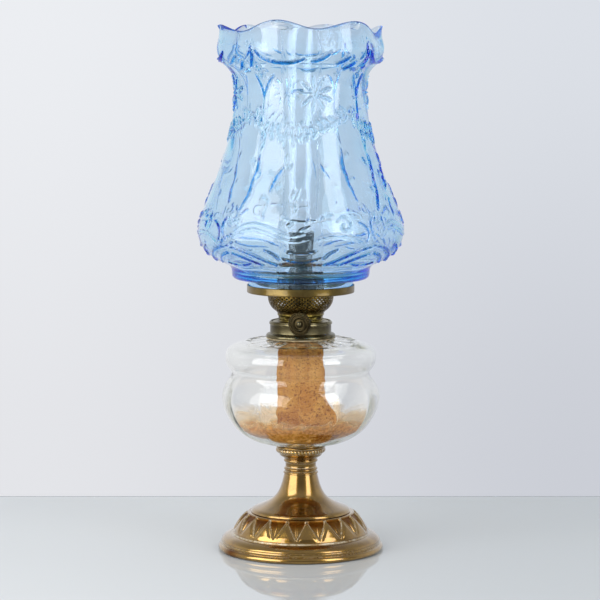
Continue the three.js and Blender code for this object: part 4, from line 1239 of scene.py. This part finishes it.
def stemsAndLeaves():
    made = [
        stroke([(-38, 326), (-36.6, 332), (-34, 341), (-33.2, 352), (-31.2, 362), (-31.6, 374)], 1.9, 1.2),
        stroke([(-33, 428), (-35.4, 436), (-39, 443), (-42, 449)], 1.4, 1.0),
        stroke([(-33, 428), (-30.2, 437), (-26, 444), (-21, 449)], 1.4, 1.0),
        stroke([(-19.6, 342), (-18, 350), (-15.4, 358), (-11.4, 365)], 1.6, 1.1),
        stroke([(-31.6, 376), (-32.8, 388), (-32.2, 402), (-33.2, 415), (-33, 428)], 1.2, 0.55, ends=0.6),
        stroke([(-35.6, 306), (-36.8, 314), (-37.6, 323)], 1.1, 0.5),
        stroke([(-22.4, 318), (-22, 326), (-20.6, 336)], 1.1, 0.5),
    ]
    leaves = [
        (-33.2, 340, 11, 2.3), (-32.6, 352, 11, 0.8), (-33.4, 366, 10, 2.2), (-32.8, 380, 10, 0.9),
        (-20.4, 334, 10, 2.5), (-19, 344, 11, 0.3), (-16.6, 354, 10, 2.3), (-12, 364, 9, 0.2),
        (-10.6, 367, 9, 1.4),
    ]
    return made + [leaf(*place) for place in leaves]


def garland():
    drop = [
        (-45, 411), (-38, 403.6), (-29, 398), (-18, 394), (-6, 393), (6, 394.4), (18, 398.4), (29, 404.6),
        (38, 410), (45, 411),
    ]
    made = [stroke(drop, 1.2, 0.8, ends=0.9)]
    for k, degrees in enumerate(np.arange(-42, 44, 5.6)):
        height = float(np.interp(degrees, *zip(*drop)))
        for up in (1, -1):
            way = (0.95 if degrees < 0 else 2.2) * up + 0.25 * math.sin(k * 2.1)
            made.append(leaf(degrees, height, 9.5 + 1.5 * math.sin(k * 1.7 + up), way, 2.0, 0.95, 0.35 * up))
    return made


def swags():
    return [
        stroke([(-33, 470.5), (-29, 465.5), (-22, 461.4), (-13, 459.4), (-3, 460.4), (3, 463)], 2.4, 1.6),
        stroke([(8, 460.6), (13, 461.6), (18, 464.4), (22, 468.4)], 2.1, 1.6),
        stroke([(26, 458), (31, 460.6), (36, 464.8)], 2.1, 1.6),
        stroke([(-42, 456), (-38.5, 460), (-36.4, 465), (-36.6, 471)], 2.1, 1.6),
        stroke([(33, 453), (38, 456.4), (42, 461)], 2, 1.5),
        stroke([(-45, 462), (-41, 466), (-38, 472), (-37.6, 478)], 1.3, 1.0),
    ]


def scrolls():
    made = [
        stroke([(-40, 301), (-34, 307), (-27, 309.6), (-19, 307), (-11, 301.6), (-3, 299.4), (5, 302)],
               1.9, 0.6),
        stroke([(-39, 305.6), (-34, 311.6), (-27, 314.2), (-19, 311.6), (-11, 306.2), (-5, 304), (2, 306.6)],
               1.9, 0.6),
        spiral(25, 312.6, 8.6, 1.35, 1.45, 0.4),
        spiral(-41, 317, 6.4, 1.2, 1.3, 2.4, -1),
        stroke([(8, 300), (15, 303), (24, 303.4), (32, 300), (38, 294.6)], 1.6, 1.0),
        stroke([(33, 316), (37.4, 312), (39.8, 305.4), (38.6, 298)], 1.6, 1.1),
        stroke([(44, 320), (41.8, 313), (42.6, 305), (45, 298.4)], 1.5, 1.1),
        stroke([(10, 318), (14.4, 321.4), (19, 322.4)], 1.4, 0.9),
        stroke([(-12, 321), (-6, 317.8), (1, 316.6), (8, 317.6)], 1.2, 0.8),
    ]
    leaves = [(-8, 312, 8, 0.5), (0, 309, 9, 0.2), (3, 314, 7, 0.9), (-4, 326, 8, 1.1)]
    return made + [leaf(*place, 1.8, 0.8) for place in leaves]


def underside():
    paired = [
        ([(45, 293.6), (37, 290.6), (28, 285.4), (20, 279.6), (15, 276.4)], 1.7, 1.15),
        ([(44, 286.6), (37, 283.4), (30, 279), (25, 275.6)], 1.4, 1.0),
        ([(34, 277), (40, 275.2), (45, 274.8)], 1.3, 0.9),
        ([(21, 291), (16, 287), (13, 281.6)], 1.4, 0.9),
    ]
    made = [
        stroke([(side * degrees, height) for degrees, height in points], half, rise)
        for side in (-1, 1) for points, half, rise in paired
    ]
    made.append(stroke([(-11, 283), (-4, 280.4), (4, 280.4), (11, 283)], 1.5, 1.0))
    made.append(stroke([(-9, 290.6), (0, 288), (9, 290.6)], 1.3, 0.8))
    return made


def shells():
    made = []
    for degrees, height, size in ((-40, 479, 8), (20, 480, 7)):
        for k in range(5):
            ribs = [pointOff(degrees, height, reach, math.radians(30 + 30 * k)) for reach in (2, size)]
            made.append(stroke([(aside, up - 4) for aside, up in ribs], 0.95, 0.55, ends=0.5))
    return made


def strokeField(aside, along, radius, strokes, pitch):
    field = np.zeros(len(aside))
    for line, widths, rise in strokes:
        marks = np.interp(line[:, 1], shadeHeights, shadeAlong)
        middle = (line[:, 0].min() + line[:, 0].max()) / 2
        reach = (line[:, 0].max() - line[:, 0].min()) / 2 + 4
        around = offMiddle(aside, middle, pitch)
        level = (along > marks.min() - 4) & (along < marks.max() + 4)
        close = np.nonzero((np.abs(around) < reach) & level)[0]
        if not len(close):
            continue
        u = np.radians(around[close]) * radius[close]
        s = along[close]
        best = np.zeros(len(close))
        for k in range(len(line) - 1):
            u0 = np.radians(line[k, 0] - middle) * radius[close]
            u1 = np.radians(line[k + 1, 0] - middle) * radius[close]
            s0, s1 = marks[k], marks[k + 1]
            du, ds = u1 - u0, s1 - s0
            t = np.clip(((u - u0) * du + (s - s0) * ds) / np.maximum(du * du + ds * ds, 1e-6), 0, 1)
            half = widths[k] + (widths[k + 1] - widths[k]) * t
            q = np.clip(np.hypot(u - u0 - t * du, s - s0 - t * ds) / half, 0, 1)
            best = np.maximum(best, (1 - q * q) ** 1.2)
        field[close] = np.maximum(field[close], best * rise)
    return field


def makeShade(v):
    outer = outline([(48.3, 245.3), (48.9, 245.8), (48.9, 254.2)], step=6)[:-1]
    outer += outline(shadeBelly, step=1.35)
    outer += outline(shadeCone, step=2.3)[1:] + outline(shadeNeck, step=1.5)[1:]
    rim = [(74.4, 494), (73.6, 494.3), (72.6, 494), (72, 493.2)]
    innerBelly = [
        (46, 262.6), (50, 262.4), (56, 262.3), (59.6, 263.4), (61.6, 266.6), (63.4, 270), (67, 273),
        (72, 275.4), (77.4, 278), (83.6, 282.4), (88.6, 287.2), (91.6, 292), (93.1, 297), (93.4, 302),
        (92.8, 307.6), (91.2, 313.4), (89.2, 319.4),
    ]
    innerLine = outline(innerBelly, step=5)
    upper = offsetLine(outline(shadeCone, shadeNeck[1:], step=8), v["wall"])
    innerLine += [point for point in upper if 322 < point[1] < 491.5]
    inner = rim + list(reversed(innerLine)) + [(45.9, 262), (45.9, 245.3)]
    ornament = stemsAndLeaves() + garland() + swags() + scrolls() + underside() + shells()
    ornament += petals(13, 431, 9, 3.6, 16, 1.55, 1.1, 0.35) + petals(-35, 451, 7, 1.8, 6.5, 1.3, 0.7, 0.1)
    ornament += petals(-2, 340, 6, 1.6, 6, 1.3, 0.7, 0.2)
    bold = stemsAndLeaves()[:4] + swags() + underside() + scrolls()[5:7]

    def carve(radius, angle, height, outside):
        pitch = 360 / v["repeat"]
        aside = offMiddle(angle, fromCamera(0), pitch)
        along = np.interp(height, shadeHeights, shadeAlong)
        relief = np.nonzero(outside & (height > v["reliefLow"]) & (height < v["reliefHigh"]))[0]
        field, deep = np.zeros(len(radius)), np.zeros(len(radius))
        for values, strokes in ((field, ornament), (deep, bold)):
            values[relief] = strokeField(aside[relief], along[relief], radius[relief], strokes, pitch)
        sway = wave(angle, 5, height / 14, 30) * wave(angle, 3, -height / 23)
        sway += 0.5 * wave(angle, 11, height / 9)
        body = smooth(height, 262, 275)
        flange = (radius > v["flangeFrom"]) & (height > v["flangeLow"])
        # Painted shade in the thick mask: deep blue on the flange's edge for light running a long way inside
        # the thick glass, on the fitter for the dark burner seen through it, and on the bold strokes for
        # light running long inside their ridges.
        edge = smooth(radius, 58, 63) * smooth(height, 261.5, 258.5) * flange
        thick = np.maximum(edge, v["flangeShadeTint"] * (flange & (height < v["flangeHigh"])))
        thick = np.maximum(thick, v["fitterShadeTint"] * smooth(height, 255, 253.5))
        thick = np.maximum(thick, v["boldShadeTint"] * smooth(deep, 0.2, 0.75))
        tip = offMiddle(angle, -180 / v["lobes"], 360 / v["lobes"])
        off = np.hypot(np.radians(tip) * radius, height - v["top"] + 1.6)
        bead = v["beadHigh"] * near(off, 0, v["beadWide"]) * outside
        return v["rise"] * field + v["sway"] * sway * body + bead, {"thick": thick}

    piece = makePiece("blueShade", spinLine(outer, inner, v["steps"]), "blueGlass", "shade", ["shade"],
                      50, carve)
    place = readFloats(piece.data.vertices, "co", 3) / mm
    x, y, z = place.T
    angle = np.arctan2(y, x)
    crest = -np.cos(v["lobes"] * angle)
    radius = np.hypot(x, y) + v["lobeDepth"] * crest * smooth(z, v["lobeFrom"], v["top"])
    over = np.maximum(radius - v["widest"], 0)
    radius -= over - v["spare"] * np.tanh(over / v["spare"])  # keeps the relief within the belly's reach
    facing = angle - math.radians(fromCamera(0))
    lower = v["uneven"] * np.sin(facing) ** 2 + v["aft"] * (1 - np.cos(facing)) / 2
    raised = z + (v["rimWave"] * crest - lower) * smooth(z, v["waveFrom"], v["top"])
    place = np.stack([radius * np.cos(angle), radius * np.sin(angle), raised], 1) * mm
    piece.data.vertices.foreach_set("co", place.astype(np.float32).ravel())
    piece.data.update()


makeShade(shade)
print("shade made")


# Wick: a woven cotton band. It is rolled nearly into a tube in the burner, opens below it and
# hangs into the fount with its tail swung to one side.

wick = {
    "across": 72, "down": 150, "top": 299, "bottom": 108, "middle": 9.5, "thick": 1.9, "rolled": 0.906,
    "width": 42.5, "wider": 0.1, "widerFrom": 0.605, "widerBy": 0.67, "bulge": 3, "swing": 7.5,
    "flare": 0.24, "ripple": 1.1, "openFrom": 0.495, "openBy": 0.56, "swingFrom": 0.78,
    "flat": (0.05, 0.193),
}

# Where a colour begins and where it is full are heights in metres.
cotton = {
    "threads": (46, 176, 1), "light": colour(208, 156, 74), "deep": colour(180, 121, 43),
    "rolled": colour(164, 110, 46), "rolledFrom": 0.185, "rolledTo": 0.2,
    "soaked": colour(150, 86, 22), "soakedFrom": 0.132, "soakedTo": 0.11, "gaps": colour(136, 80, 28),
    "specks": colour(118, 60, 16), "charred": colour(30, 26, 24), "charredFrom": 0.2955, "charredTo": 0.2985,
    "weaveDepth": 0.35,
}


def cottonMaterial(v):
    material, tree, out = newMaterial("cotton")
    uv = addNode(tree, "UVMap", uv_map="cloth").outputs["UV"]
    place = addNode(tree, "TexCoord").outputs["Object"]
    threads = addNode(tree, "Mapping", {"Vector": uv, "Scale": v["threads"]}).outputs[0]
    split = addNode(tree, "SeparateXYZ", {"Vector": threads}).outputs
    warp, weft = (
        calc(tree, "ABSOLUTE", calc(tree, "SINE", calc(tree, "MULTIPLY", split[axis], math.pi)))
        for axis in "XY"
    )
    weave = calc(tree, "MULTIPLY", calc(tree, "POWER", warp, 0.5), calc(tree, "POWER", weft, 0.6))
    patch = noiseAt(tree, place, 60, 5, 0.65, 0.5)
    speck = noiseAt(tree, place, 520, 3, 0.6)
    height = addNode(tree, "SeparateXYZ", {"Vector": place}).outputs["Z"]
    tint = blend(tree, ramp(tree, patch, 0.36, 0.62), v["light"], v["deep"])
    tint = blend(tree, ramp(tree, height, v["rolledFrom"], v["rolledTo"]), tint, v["rolled"])
    tint = blend(tree, ramp(tree, height, v["soakedFrom"], v["soakedTo"], 0, 0.7), tint, v["soaked"])
    tint = blend(tree, ramp(tree, weave, 0.0, 0.55, 0.3, 0.0), tint, v["gaps"])
    tint = blend(tree, ramp(tree, speck, 0.53, 0.62, 0.0, 0.8), tint, v["specks"])
    tint = blend(tree, ramp(tree, height, v["charredFrom"], v["charredTo"]), tint, v["charred"])
    shader = addNode(
        tree, "BsdfPrincipled",
        {
            "Base Color": tint, "Roughness": ramp(tree, speck, 0.3, 0.7, 0.82, 0.95),
            "Normal": bumpFrom(tree, weave, v["weaveDepth"], 0.9), "Sheen Weight": 0.15,
        },
    )
    tree.links.new(shader.outputs[0], out["Surface"])
    return material


finishes["cotton"] = cottonMaterial(cotton)


def makeWick(v):
    bm = bmesh.new()
    cloth = bm.loops.layers.uv.new("cloth")
    bmesh.ops.create_grid(bm, x_segments=v["across"], y_segments=v["down"], size=1)
    for face in bm.faces:
        for loop in face.loops:
            loop[cloth].uv = ((loop.vert.co.x + 1) / 2, (1 - loop.vert.co.y) / 2)
    place = np.array([vert.co[:] for vert in bm.verts])
    across, down = place[:, 0], (1 - place[:, 1]) / 2
    opened = smooth(down, v["openFrom"], v["openBy"])
    swung = smooth(down, v["swingFrom"], 1)
    angle = across * turn * v["rolled"] / 2
    frayed = 1 + 0.018 * np.sin(37 * down) + 0.02 * np.sin(91 * down + 2) * np.sin(23 * down)
    broad = v["width"] * (1 + v["wider"] * smooth(down, v["widerFrom"], v["widerBy"]))
    openX = across * broad / 2 * (1 + v["flare"] * swung) * frayed + v["swing"] * swung
    openY = -v["bulge"] * (1 - across**2) + v["ripple"] * np.sin(across * turn + 9 * down)
    openY += 0.5 * np.sin(across * 9 + 31 * down) * np.sin(13 * down)
    x = (1 - opened) * v["middle"] * np.sin(angle) + opened * openX
    y = -(1 - opened) * v["middle"] * np.cos(angle) + opened * openY
    z = v["top"] - down * (v["top"] - v["bottom"]) + swung * (across + 1) ** 2 * v["ripple"]
    for vert, spot in zip(bm.verts, np.stack([x, y, z], 1) * mm):
        vert.co = spot
    bmesh.ops.recalc_face_normals(bm, faces=bm.faces)
    piece = makePiece("cottonWick", bm, "cotton", "wick", ["wick"], 60)
    cloth = piece.modifiers.new("cloth", "SOLIDIFY")
    cloth.thickness = v["thick"] * mm
    cloth.offset = 0


makeWick(wick)
print("wick made")


# The CAD pieces that stay in view take their finishes here.

keptNodes = {
    "castIron": ["foot_filling"],
    "plainSteel": ["base_washer", "base_nut", "tie_rod", "cup_nut", "spindle"],
    "darkBronze": ["burner_floor"],
    "burnerSteel": ["draught_tube", "wick_tube"],
    "neckBrass": ["spindle_bush", "spur_wheel_front", "spur_wheel_rear"],
}
for finish, nodes in keptNodes.items():
    for node in nodes:
        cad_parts[node].data.materials.clear()
        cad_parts[node].data.materials.append(finishes[finish])
print("kept pieces finished")
